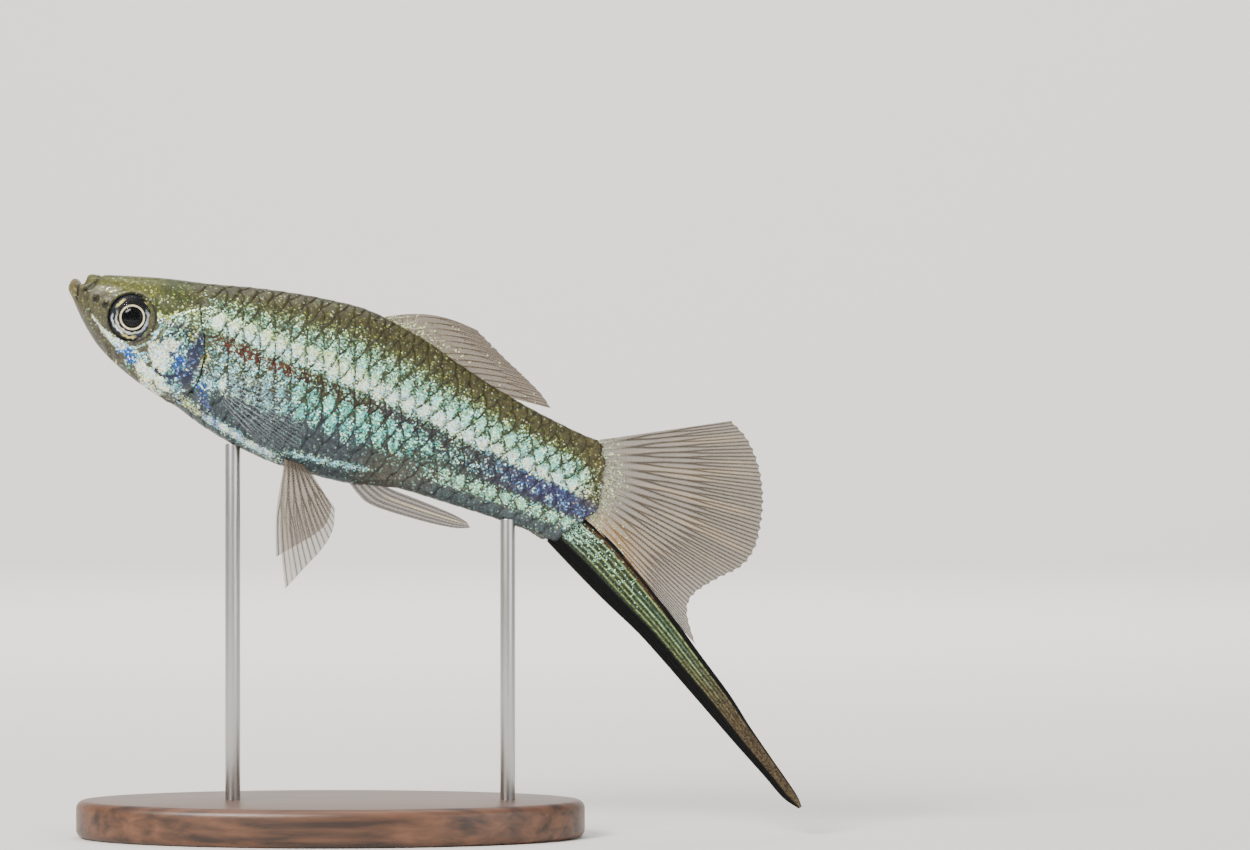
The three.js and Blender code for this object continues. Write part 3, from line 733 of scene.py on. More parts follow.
def mark_face(coat):
    """Mouth, with painted shade in the grooves along the lips, in the nostrils and in a ring round
    the eye, and the bright crescent round the eye.
    """
    along, level = coat.along, coat.level
    head = 1 - rise(along, 21, 27)
    coat.tint("gape", spot(along, level, (2.1, 2.6), (1.0, 1.3), 30) * head)
    # Painted shade: near-black lines in the grooves along the lips' edges.
    for lip_edge in LIP_EDGES:
        from_lip = near_line(along, level, line_through(lip_edge))
        coat.tint("rim", (1 - rise(from_lip, 0.1, 0.38)) * 0.9)
    # Painted shade in the nostril pits.
    for place, size in zip(NOSTRILS, (0.75, 0.8)):
        coat.tint("rim", spot(along, level, place, (size, size * 1.2)) * 0.7)
    ring = np.hypot(along - EYE_CENTRE[0], level - EYE_CENTRE[1]) * PERCENT
    facing = np.degrees(np.arctan2(level - EYE_CENTRE[1], along - EYE_CENTRE[0]))
    crescent = band(ring, 3.15, 0.04, 0.16) * band(facing, -27, 30, 18) * head
    coat.turn_to(0.95, crescent)
    coat.light("ice", crescent)
    # Painted shade: a near-black ring, bare of grains, where the eyeball meets its socket.
    coat.tint("rim", band(ring, 2.55, 0.08, 0.16) * 0.8)
    coat.thin(band(ring, 2.5, 0.1, 0.14))


def mark_tail_end(coat):
    """At its very end the upper body thins out over the roots of the tail's rays."""
    end = rise(coat.along - tail_root(coat.level), -5.5, -1.2) * (1 - rise(coat.girth, 0.5, 0.68))
    coat.tint("root", end * 0.7)
    coat.light("gold", end * 0.5)
    coat.thin(0.6 * end)


# Materials.


def rgba(colour):
    """A colour and full alpha, from a hex code or linear parts."""
    return (*as_linear(colour), 1)


def add(tree, kind, settings=None, **links):
    """Adds a node, sets its properties and inputs, and links the sockets that are given. An input
    goes by its name, or by its number where the name isn't its own: 7 to set it, _7 to link it. A
    ramp is given its stops, each a place and a colour."""
    node = tree.nodes.new(kind)
    for key, value in (settings or {}).items():
        if key == "stops":
            elements = node.color_ramp.elements
            while len(elements) < len(value):
                elements.new(0.5)
            for element, (position, colour) in zip(elements, value):
                element.position, element.color = position, rgba(colour)
        elif isinstance(key, int) or key in node.inputs:
            node.inputs[key].default_value = value
        else:
            setattr(node, key, value)
    for key, socket in links.items():
        place = int(key[1:]) if key[0] == "_" and key[1:].isdigit() else key.replace("_", " ")
        tree.links.new(socket, node.inputs[place])
    return node


def pattern_scale(millimetres):
    """The scale that gives a pattern cells of this size."""
    return 1 / (millimetres * MM)


def new_material(name, **principled):
    """A material with its shader's own sockets set."""
    material = bpy.data.materials.new(name)
    material.use_nodes = True
    tree = material.node_tree
    shader = tree.nodes["Principled BSDF"]
    for key, value in principled.items():
        shader.inputs[key.replace("_", " ")].default_value = value
    return material, tree, shader


def glittering(name, grain, ground_spread, **principled):
    """A film with bright grains in it, each grain with its own size, brightness and hue."""
    material, tree, shader = new_material(name, **principled)
    place = add(tree, "ShaderNodeTexCoord").outputs["Object"]
    ground = add(tree, "ShaderNodeAttribute", {"attribute_name": "ground"}).outputs["Color"]
    spark = add(tree, "ShaderNodeAttribute", {"attribute_name": "spark"}).outputs["Color"]
    dense = add(tree, "ShaderNodeAttribute", {"attribute_name": "dense"}).outputs["Fac"]
    grains = add(
        tree, "ShaderNodeTexVoronoi", {"Scale": pattern_scale(grain), "Randomness": 1.0}, Vector=place
    )
    parts = add(tree, "ShaderNodeSeparateColor", Color=grains.outputs["Color"]).outputs
    # The brightest grains are nearly white, whatever the colour round them.
    pale = add(
        tree, "ShaderNodeMapRange", {"From Min": 0.66, "From Max": 0.95, "To Max": 0.8},
        Value=parts[1],
    )
    spark = add(
        tree, "ShaderNodeMix", {"data_type": "RGBA", 7: (0.9, 1.0, 0.97, 1)},
        _0=pale.outputs[0], _6=spark,
    ).outputs[2]
    # A grain shows where its own random number is under the density.
    margin = add(tree, "ShaderNodeMath", {"operation": "SUBTRACT"}, _0=dense, _1=parts[0])
    lit = add(
        tree, "ShaderNodeMapRange", {"From Min": -0.1, "From Max": 0.22}, Value=margin.outputs[0]
    )
    # Most grains are dull and a few flash; where they lie close together they all do.
    flash = add(tree, "ShaderNodeMath", {"operation": "POWER", 1: 1.6}, _0=parts[1])
    crowd = add(tree, "ShaderNodeMath", {"operation": "POWER", 1: 7.0}, _0=dense)
    dull = add(
        tree, "ShaderNodeMapRange", {"To Min": 0.26, "To Max": 1.25}, Value=flash.outputs[0]
    )
    most = add(tree, "ShaderNodeMath", {"operation": "MULTIPLY", 1: 0.55}, _0=crowd.outputs[0])
    shade = add(
        tree, "ShaderNodeMix", {"data_type": "FLOAT", 3: 1.12},
        _0=most.outputs[0], _2=dull.outputs[0],
    )
    # Each grain leans to cyan, white or straw as it is tilted.
    lean = add(
        tree, "ShaderNodeValToRGB", {"stops": ((0, "#8edfff"), (0.5, "#ffffff"), (1, "#fdee90"))},
        Fac=parts[2],
    )
    tinted = add(
        tree, "ShaderNodeMix", {"data_type": "RGBA", "blend_type": "MULTIPLY", 0: 0.75},
        _6=spark, _7=lean.outputs[0],
    )
    hue = add(tree, "ShaderNodeMapRange", {"To Min": 0.47, "To Max": 0.53}, Value=parts[2])
    glint = add(
        tree, "ShaderNodeHueSaturation", {"Saturation": 1.15}, Hue=hue.outputs[0],
        Value=shade.outputs[0], Color=tinted.outputs[2],
    )
    # Pigment cells make the ground uneven.
    cloud = add(
        tree, "ShaderNodeTexNoise", {"Scale": pattern_scale(PIGMENT_CLOUD), "Detail": 6.0},
        Vector=place,
    )
    mottle = add(
        tree, "ShaderNodeMapRange",
        {"From Min": 0.3, "From Max": 0.7, "To Min": 1 - ground_spread, "To Max": 1 + ground_spread},
        Value=cloud.outputs["Fac"],
    )
    speck = add(tree, "ShaderNodeMapRange", {"To Min": 0.7, "To Max": 1.25}, Value=parts[1])
    uneven = add(
        tree, "ShaderNodeMath", {"operation": "MULTIPLY"}, _0=mottle.outputs[0], _1=speck.outputs[0]
    )
    deep = add(
        tree, "ShaderNodeVectorMath", {"operation": "SCALE"}, Vector=ground,
        Scale=uneven.outputs[0],
    )
    colour = add(
        tree, "ShaderNodeMix", {"data_type": "RGBA"},
        _0=lit.outputs[0], _6=deep.outputs[0], _7=glint.outputs[0],
    )
    tree.links.new(colour.outputs[2], shader.inputs["Base Color"])
    gleam = add(tree, "ShaderNodeMath", {"operation": "MULTIPLY", 1: 0.35}, _0=lit.outputs[0])
    tree.links.new(gleam.outputs[0], shader.inputs["Metallic"])
    bump = add(tree, "ShaderNodeBump", {"Strength": 0.3, "Distance": 0.03 * MM}, Height=parts[2])
    tree.links.new(bump.outputs["Normal"], shader.inputs["Normal"])
    return material


def scaled_skin(name):
    """Living fish skin: a clear wet film over dark pigment, set with grains of guanine that flash
    mint, cyan and white. The grains are drawn at 0.16 mm, about twice their real size, to show."""
    return glittering(
        name, SKIN_GRAIN, 0.35, Roughness=0.38, IOR=1.4, Coat_Weight=0.1, Coat_Roughness=0.15,
        Coat_IOR=1.34, Specular_IOR_Level=0.3,
    )


def gill_silver():
    """The bony gill cover under a thin silver layer of guanine, as bright as a mirror, with blue
    where the layer is thinner."""
    return glittering(
        "guanine_silver", SILVER_GRAIN, 0.25, Roughness=0.3, IOR=1.42, Coat_Weight=0.2,
        Coat_Roughness=0.1, Coat_IOR=1.34,
    )


def fin_film(name, joint, film_alpha, ray_alpha):
    """A living fin: a clear elastic film between jointed bony rays, wet and a little glossy, with
    a few grains of guanine near its root."""
    material, tree, shader = new_material(
        name, Roughness=0.38, IOR=1.42, Coat_Weight=0.2, Coat_Roughness=0.2,
    )
    tone = add(tree, "ShaderNodeAttribute", {"attribute_name": "tone"}).outputs["Color"]
    ray = add(tree, "ShaderNodeAttribute", {"attribute_name": "ray"}).outputs["Fac"]
    reach = add(tree, "ShaderNodeAttribute", {"attribute_name": "reach"}).outputs["Fac"]
    # Joints cross each ray at an even spacing.
    beat = add(
        tree, "ShaderNodeMath", {"operation": "MULTIPLY", 1: 2 * math.pi / joint}, _0=reach
    )
    wave = add(tree, "ShaderNodeMath", {"operation": "SINE"}, _0=beat.outputs[0])
    jointed = add(
        tree, "ShaderNodeMapRange",
        {"From Min": -1.0, "From Max": 1.0, "To Min": 0.72, "To Max": 1.25}, Value=wave.outputs[0],
    )
    even = add(
        tree, "ShaderNodeMix", {"data_type": "FLOAT", 2: 1.0}, _0=ray, _3=jointed.outputs[0]
    )
    colour = add(
        tree, "ShaderNodeVectorMath", {"operation": "SCALE"}, Vector=tone, Scale=even.outputs[0]
    )
    place = add(tree, "ShaderNodeTexCoord").outputs["Object"]
    fleck = add(tree, "ShaderNodeAttribute", {"attribute_name": "fleck"}).outputs["Fac"]
    grains = add(
        tree, "ShaderNodeTexVoronoi", {"Scale": pattern_scale(SKIN_GRAIN), "Randomness": 1.0},
        Vector=place,
    )
    parts = add(tree, "ShaderNodeSeparateColor", Color=grains.outputs["Color"]).outputs
    shown = add(tree, "ShaderNodeMath", {"operation": "LESS_THAN"}, _0=parts[0], _1=fleck)
    glint = add(
        tree, "ShaderNodeValToRGB", {"stops": ((0, "#57562c"), (1, "#c9d8a4"))}, Fac=parts[1]
    )
    flecked = add(
        tree, "ShaderNodeMix", {"data_type": "RGBA"},
        _0=shown.outputs[0], _6=colour.outputs[0], _7=glint.outputs[0],
    )
    tree.links.new(flecked.outputs[2], shader.inputs["Base Color"])
    alpha = add(
        tree, "ShaderNodeMapRange", {"To Min": film_alpha, "To Max": ray_alpha}, Value=ray
    )
    solid = add(
        tree, "ShaderNodeMath", {"operation": "MAXIMUM"}, _0=alpha.outputs[0], _1=shown.outputs[0]
    )
    tree.links.new(solid.outputs[0], shader.inputs["Alpha"])
    return material


def sword_enamel():
    """The sword's long rays, dark pigment with metallic green lines, under a wet film. Grains of
    guanine spill onto its root from the body."""
    material, tree, shader = new_material(
        "sword_rays", Roughness=0.4, IOR=1.4, Coat_Weight=0.05, Coat_Roughness=0.15,
        Specular_IOR_Level=0.12,
    )
    place = add(tree, "ShaderNodeTexCoord").outputs["Object"]
    tone = add(tree, "ShaderNodeAttribute", {"attribute_name": "tone"}).outputs["Color"]
    fleck = add(tree, "ShaderNodeAttribute", {"attribute_name": "fleck"}).outputs["Fac"]
    dust = add(
        tree, "ShaderNodeTexVoronoi", {"Scale": pattern_scale(SWORD_GRAIN), "Randomness": 1.0},
        Vector=place,
    )
    parts = add(tree, "ShaderNodeSeparateColor", Color=dust.outputs["Color"]).outputs
    uneven = add(tree, "ShaderNodeMapRange", {"To Min": 0.3, "To Max": 1.6}, Value=parts[0])
    colour = add(
        tree, "ShaderNodeVectorMath", {"operation": "SCALE"}, Vector=tone, Scale=uneven.outputs[0]
    )
    shown = add(tree, "ShaderNodeMath", {"operation": "LESS_THAN"}, _0=parts[1], _1=fleck)
    glint = add(
        tree, "ShaderNodeValToRGB", {"stops": ((0, "#3f7468"), (1, "#c4ecd0"))}, Fac=parts[2]
    )
    flecked = add(
        tree, "ShaderNodeMix", {"data_type": "RGBA"},
        _0=shown.outputs[0], _6=colour.outputs[0], _7=glint.outputs[0],
    )
    tree.links.new(flecked.outputs[2], shader.inputs["Base Color"])
    return material


def cornea():
    """The clear cornea: wet, smooth and colourless."""
    return new_material(
        "cornea", Base_Color=rgba("#0c1014"), Roughness=0.03, IOR=1.38, Alpha=0.1,
        Specular_IOR_Level=0.6,
    )[0]


def iris_foil():
    """The iris, silver and gold foil with dark flecks, round a black pupil."""
    material, tree, shader = new_material(
        "iris_foil", Roughness=0.5, IOR=1.4, Specular_IOR_Level=0.2,
    )
    tone = add(tree, "ShaderNodeAttribute", {"attribute_name": "tone"}).outputs["Color"]
    place = add(tree, "ShaderNodeTexCoord").outputs["Object"]
    fleck = add(
        tree, "ShaderNodeTexNoise", {"Scale": pattern_scale(IRIS_FLECK), "Detail": 4.0}, Vector=place
    )
    uneven = add(
        tree, "ShaderNodeMapRange",
        {"From Min": 0.3, "From Max": 0.7, "To Min": 0.55, "To Max": 1.3},
        Value=fleck.outputs["Fac"],
    )
    colour = add(
        tree, "ShaderNodeVectorMath", {"operation": "SCALE"}, Vector=tone, Scale=uneven.outputs[0]
    )
    tree.links.new(colour.outputs[0], shader.inputs["Base Color"])
    return material


def lens_black():
    """The lens that fills the pupil: glossy black."""
    return new_material(
        "lens_black", Base_Color=rgba("#07080a"), Roughness=0.08, IOR=1.4, Specular_IOR_Level=0.3,
    )[0]


def walnut(dark, light):
    """Walnut, planed and waxed: a satin sheen over dark growth lines along the base."""
    material, tree, shader = new_material(
        "waxed_walnut", Roughness=0.42, IOR=1.5, Coat_Weight=0.15, Coat_Roughness=0.3,
    )
    place = add(tree, "ShaderNodeTexCoord").outputs["Object"]
    lie = add(tree, "ShaderNodeMapping", {"Scale": (0.06, 1.0, 1.0)}, Vector=place)
    growth = add(
        tree, "ShaderNodeTexNoise",
        {"Scale": pattern_scale(GROWTH_LINE), "Detail": 6.0, "Distortion": 0.4}, Vector=lie.outputs[0],
    )
    pores = add(
        tree, "ShaderNodeTexNoise", {"Scale": pattern_scale(WOOD_PORE), "Detail": 2.0},
        Vector=lie.outputs[0],
    )
    lines = add(
        tree, "ShaderNodeValToRGB", {"stops": ((0.3, dark), (0.72, light))},
        Fac=growth.outputs["Fac"],
    )
    tree.links.new(lines.outputs["Color"], shader.inputs["Base Color"])
    bump = add(
        tree, "ShaderNodeBump", {"Strength": 0.3, "Distance": 0.05 * MM},
        Height=pores.outputs["Fac"],
    )
    tree.links.new(bump.outputs["Normal"], shader.inputs["Normal"])
    return material


def drawn_steel():
    """Stainless rod as drawn: fine lines along it, a soft streaked gleam."""
    material, tree, shader = new_material(
        "drawn_steel", Base_Color=rgba("#b4b4b2"), Metallic=1.0, Roughness=0.3,
    )
    place = add(tree, "ShaderNodeTexCoord").outputs["Object"]
    lie = add(tree, "ShaderNodeMapping", {"Scale": (1.0, 1.0, 0.03)}, Vector=place)
    lines = add(
        tree, "ShaderNodeTexNoise", {"Scale": pattern_scale(DRAWN_LINE), "Detail": 3.0},
        Vector=lie.outputs[0],
    )
    rough = add(
        tree, "ShaderNodeMapRange", {"To Min": 0.22, "To Max": 0.4}, Value=lines.outputs["Fac"]
    )
    tree.links.new(rough.outputs[0], shader.inputs["Roughness"])
    bump = add(
        tree, "ShaderNodeBump", {"Strength": 0.15, "Distance": 0.01 * MM},
        Height=lines.outputs["Fac"],
    )
    tree.links.new(bump.outputs["Normal"], shader.inputs["Normal"])
    return material


def studio_paper(colour):
    """Matt backdrop paper, rolled out under the model and up behind it."""
    return new_material("backdrop_paper", Base_Color=rgba(colour), Roughness=0.9)[0]


# Sizes and colours.


def length(name, description, millimetres):
    return bpy.props.FloatProperty(
        name=name, description=description, default=millimetres * MM, unit="LENGTH", precision=5
    )


def colour(name, description, code):
    return bpy.props.FloatVectorProperty(
        name=name, description=description, subtype="COLOR", size=3, default=tuple(linear(code)),
        min=0, max=1,
    )


class BodySettings(bpy.types.PropertyGroup):
    """Sizes of the skin and scales."""

    skin_grain: length("Skin grain", "Spacing of the skin's own mesh", 0.165)
    scale_thickness: length("Scale thickness", "Thickness of a scale at its edge", 0.035)
    scale_rise: length("Scale rise", "How far a scale's rear edge stands over the skin", 0.05)
    lower_lip: length("Lower lip", "Radius of the lower lip", 0.5)
    upper_lip: length("Upper lip", "Radius of the upper lip", 0.54)


class FinSettings(bpy.types.PropertyGroup):
    """Sizes of the fins, and the colour of the sword's bright lines."""

    film: length("Film", "Thickness of the film between the rays", 0.1)
    ray_height: length("Ray height", "How far a ray stands out at its root, both faces", 0.22)
    joint: length("Joint spacing", "Spacing of the joints along a ray", 0.34)
    sword_green: colour("Sword green", "Colour of the bright lines along the sword", "#abcb78")


class EyeSettings(bpy.types.PropertyGroup):
    """Sizes of the eyes."""

    radius: length("Eye radius", "Radius of the eyeball as seen from the side", 2.5)
    iris: length("Iris radius", "Radius of the bright ring round the pupil", 1.72)
    pupil: length("Pupil radius", "Radius of the pupil", 1.12)
    bulge: length("Bulge", "How far the eyeball stands out from its middle", 1.25)


class StandSettings(bpy.types.PropertyGroup):
    """The display stand's edge and the colours of its wood."""

    edge: length("Base edge", "Rounding of the base's rim", 0.9)
    dark_wood: colour("Dark wood", "Colour of the wood's dark growth lines", "#2c1b11")
    light_wood: colour("Light wood", "Colour of the wood between them", "#6b4630")


class StageSettings(bpy.types.PropertyGroup):
    """The floor's colour and the camera's lens."""

    paper: colour("Paper", "Colour of the floor and backdrop", "#e3e0da")
    lens: bpy.props.FloatProperty(
        name="Lens", description="Focal length of the camera, in millimetres", default=135,
        subtype="DISTANCE_CAMERA",
    )


# Body.


def paint_body(obj, cell=0.4, edge=0.0, own=1.0):
    """Stores the markings on a body mesh."""
    along, across, level = in_percent(coordinates(obj))
    girth = girth_of(along, across, level)
    markings(along, level, girth, cell, edge, own).keep(obj)
    return along, across, girth


# A lip's rings from its end to its middle, how far its line lies inside the flank at the mouth's
# corner, and how deep an eye's socket is, in millimetres.
LIP_RINGS = 9
LIP_SINK = 0.25
SOCKET_DEPTH = 1.32


def lip(name, front, radius):
    """A lip from one mouth corner over the snout to the other, thinner at its ends."""
    half = flank_at(*MOUTH_CORNER) - LIP_SINK / PERCENT
    turn = np.linspace(-math.pi / 2, math.pi / 2, 2 * LIP_RINGS + 3)
    ahead = np.cos(turn) ** 0.8
    along = between(MOUTH_CORNER[0], front[0], ahead)
    level = between(MOUTH_CORNER[1], front[1], ahead)
    swell = np.linspace(0.34, radius, LIP_RINGS)
    radii = np.concatenate([[0.3], swell, [radius], swell[::-1], [0.3]]) * MM
    return sweep(name, in_place(along, half * np.sin(turn), level), radii)


def sweep(name, path, radii, sides=16):
    """A closed tube along a path, rounded off at both ends."""
    path = np.asarray(path)
    ahead = np.gradient(path, axis=0)
    ahead /= np.linalg.norm(ahead, axis=1)[:, None]
    side = np.cross(ahead, (0.0, 1.0, 0.0))
    flat = np.linalg.norm(side, axis=1) < 1e-6
    side[flat] = (0.0, 0.0, 1.0)
    side /= np.linalg.norm(side, axis=1)[:, None]
    up = np.cross(ahead, side)
    angles = np.arange(sides) * 2 * math.pi / sides
    rings = [
        p + radius * (np.cos(angles)[:, None] * s + np.sin(angles)[:, None] * u)
        for p, s, u, radius in zip(path, side, up, radii)
    ]
    points = np.concatenate([*rings, path[:1], path[-1:]])
    count = len(path)
    faces = ring_faces(count, sides)
    first, last = count * sides, count * sides + 1
    for j in range(sides):
        k = (j + 1) % sides
        faces.append((first, k, j))
        faces.append((last, (count - 1) * sides + j, (count - 1) * sides + k))
    obj = mesh_piece(name, points, faces)
    face_outwards(obj)
    return obj


def body_blank():
    """A sphere drawn out to the body's own sections, its poles at the chin and the tail."""
    rings, sides = 150, 96
    deselect()
    bpy.ops.mesh.primitive_uv_sphere_add(segments=sides, ring_count=rings, radius=1)
    obj = bpy.context.object
    co = coordinates(obj)
    ring = np.rint(np.arccos(np.clip(co[:, 2], -1, 1)) / math.pi * rings)
    turn = np.arctan2(co[:, 1], co[:, 0])
    share = np.clip((ring - 0.6) / (rings - 1.6), 0, 1)
    along = LAST_STATION * share ** 1.45
    sunk = -COAT_DEPTH / PERCENT * rise(along, 18, 30)
    across, level = section(along, turn, sunk)
    # The last rings bend to follow the rounded root of the tail, just inside it.
    inside, bend_from = 0.25, 88
    end = tail_root(level) - inside
    bent = bend_from + (along - bend_from) * (end - bend_from) / (LAST_STATION - bend_from)
    along = np.where(along > bend_from, bent, along)
    chin, tail = ring == 0, ring == rings
    across = np.where(chin | tail, 0, across)
    level = np.where(chin, WIDEST_LEVEL[0][1], np.where(tail, WIDEST_LEVEL[-1][1], level))
    along = np.where(tail, TAIL_ROOT["tip"] - inside, along)
    move_to(obj, in_place(along, across, level))
    face_outwards(obj)
    return obj


def cut_with(obj, tool):
    """Takes the tool's shape out of a piece."""
    finish_with(obj, "BOOLEAN", operation="DIFFERENCE", object=tool, solver="EXACT")
    bpy.data.objects.remove(tool)


def gape_tool():
    """The open wedge between the lips."""
    outline = np.array([(3.4, 0.9), (1.6, 1.7), (-1, 4), (1, 7), (2.65, 3.4)])
    count, half = len(outline), 5.0
    points = np.concatenate([
        in_place(outline[:, 0], np.full(count, side * half), outline[:, 1]) for side in (-1, 1)
    ])
    faces = [tuple(range(count)), tuple(range(count, 2 * count))[::-1]]
    for i in range(count):
        after = (i + 1) % count
        faces.append((i, i + count, after + count, after))
    obj = mesh_piece("gape", points, faces)
    face_outwards(obj)
    return obj


def socket_tool(side, radius, depth):
    """The hollow that an eyeball sits in."""
    place = in_place(EYE_CENTRE[0], side * EYE_OUT / PERCENT, EYE_CENTRE[1])
    deselect()
    bpy.ops.mesh.primitive_uv_sphere_add(
        segments=64, ring_count=32, radius=1, location=place,
        scale=(radius * MM, depth * MM, radius * MM),
    )
    return settle(bpy.context.object, "socket")


CHEEK_RIDGE = [(7.6, -2.2), (9.8, -4.2), (13, -5.9), (16.4, -5.6)]
THROAT_FOLD = [(13.5, -9.6), (17.5, -11.6), (22, -12.9)]


def sculpt_head(obj):
    """Grooves and ridges of the jaw, cheek, nostrils and gill slit, pressed into the skin."""
    co = coordinates(obj)
    along, across, level = in_percent(co)
    normals = np.empty(len(co) * 3, np.float32)
    obj.data.vertices.foreach_get("normal", normals)
    normals = normals.reshape(-1, 3)
    push = np.zeros(len(co))
    side_on = rise(np.abs(across), 0.6, 1.6)

    jaw = near_line(along, level, line_through(JAW_SEAM))
    push -= 0.16 * (1 - rise(jaw, 0.1, 0.5)) * side_on
    push += 0.05 * band(jaw, 0.75, 0.2, 0.4) * side_on
    cheek = near_line(along, level, line_through(CHEEK_RIDGE))
    push += 0.06 * (1 - rise(cheek, 0.2, 0.9)) * side_on
    lid = np.hypot(along - EYE_CENTRE[0], level - EYE_CENTRE[1]) * PERCENT
    push += 0.09 * band(lid, 2.75, 0.1, 0.3) * (np.abs(across) > 2)
    slit = near_line(along, level, line_through([*GILL_COVER_REAR, (23.4, -13.4)]))
    push -= 0.24 * (1 - rise(slit, 0.2, 1.0)) * side_on
    for place, size in zip(NOSTRILS, (0.55, 0.6)):
        far = np.hypot(along - place[0], (level - place[1]) / 1.25)
        push -= 0.3 * (1 - rise(far, 0.05, size)) * side_on
        push += 0.06 * band(far, size * 1.25, 0.1, 0.25) * side_on
    fold = near_line(along, level, line_through(THROAT_FOLD))
    push -= 0.08 * (1 - rise(fold, 0.05, 0.35)) * side_on
    for lip_edge in LIP_EDGES:
        close = near_line(along, level, line_through(lip_edge))
        push -= 0.13 * (1 - rise(close, 0.1, 0.5))
    # Fine wrinkles of the lips and snout.
    crease = np.sin(along * 9.0 + level * 4.0) * np.sin(level * 8.0 - along * 3.0)
    push += 0.01 * crease * (1 - rise(along, 5, 11))
    move_to(obj, co + normals * push[:, None] * MM)


class SWORDTAIL_OT_skin(bpy.types.Operator):
    """Model the one skin of head, trunk and tail root, with lips, nostrils and eye sockets"""

    bl_idname = "swordtail.skin"
    bl_label = "Skin"

    def execute(self, context):
        body, eyes = context.scene.swordtail_body, context.scene.swordtail_eyes
        skin = body_blank()
        lips = (
            lip("lower_lip", LOWER_LIP_FRONT, body.lower_lip / MM),
            lip("upper_lip", UPPER_LIP_FRONT, body.upper_lip / MM),
        )
        cut_with(skin, gape_tool())
        only(skin)
        for piece in lips:
            piece.select_set(True)
        bpy.ops.object.join()
        finish_with(skin, "REMESH", mode="VOXEL", voxel_size=body.skin_grain)
        for side in (-1, 1):
            cut_with(skin, socket_tool(side, eyes.radius / MM + 0.06, SOCKET_DEPTH))
        finish_with(skin, "REMESH", mode="VOXEL", voxel_size=body.skin_grain)
        finish_with(skin, "SMOOTH", factor=0.5, iterations=4)
        sculpt_head(skin)
        along, across, girth = paint_body(skin)
        keep_uv(skin, "OFBake", *unrolled(along, np.where(across < 0, girth, -girth)))
        smooth(skin)
        settle(skin, "skin")
        wear(skin, scaled_skin("wet_skin"), "skin", "head", "lower_jaw", "trunk", "tail_root")
        return {"FINISHED"}


# Scales.


def scale_centres():
    """Where each scale sits: its middle along the body, and its share of the girth."""
    by_level = sorted((level, along) for along, level in GILL_COVER_REAR)
    cover_edge = smooth_curve(by_level)
    centres = []
    for row in range(-SCALE_ROWS // 2 + 1, SCALE_ROWS // 2 + 1):
        girth = row * 2 / SCALE_ROWS
        start = FIRST_SCALE + SCALE_PITCH / 2 * (row % 2)
        for along in np.arange(start, LAST_SCALE, SCALE_PITCH):
            turn = turn_of(np.array([along]), np.array([girth]))
            _, level = section(np.array([along]), turn)
            on_flank, on_throat = abs(girth) > 0.16, abs(girth) > 0.8
            under_cover = on_flank and along < cover_edge(level[0]) + 0.9
            past_end = along > tail_root(level[0]) - 1.7
            if not (under_cover or past_end or (on_throat and along < 26.5)):
                centres.append((along, girth))
    return np.array(centres)


SCALE_COLUMNS, SCALE_RINGS = 9, 7


def scale_faces():
    """The faces of one scale: its upper side, its under side, and the rim between them."""
    columns, rings = SCALE_COLUMNS, SCALE_RINGS
    plate = columns * rings
    upper = [
        (r * columns + c, r * columns + c + 1, (r + 1) * columns + c + 1, (r + 1) * columns + c)
        for r in range(rings - 1) for c in range(columns - 1)
    ]
    under = [tuple(plate + i for i in reversed(face)) for face in upper]
    rim = [
        *range(columns), *(columns * (r + 1) - 1 for r in range(1, rings)),
        *(columns * (rings - 1) + c for c in range(columns - 2, -1, -1)),
        *(columns * r for r in range(rings - 2, 0, -1)),
    ]
    sides = [
        (after, here, here + plate, after + plate) for here, after in zip(rim, rim[1:] + rim[:1])
    ]
    return upper + under + sides


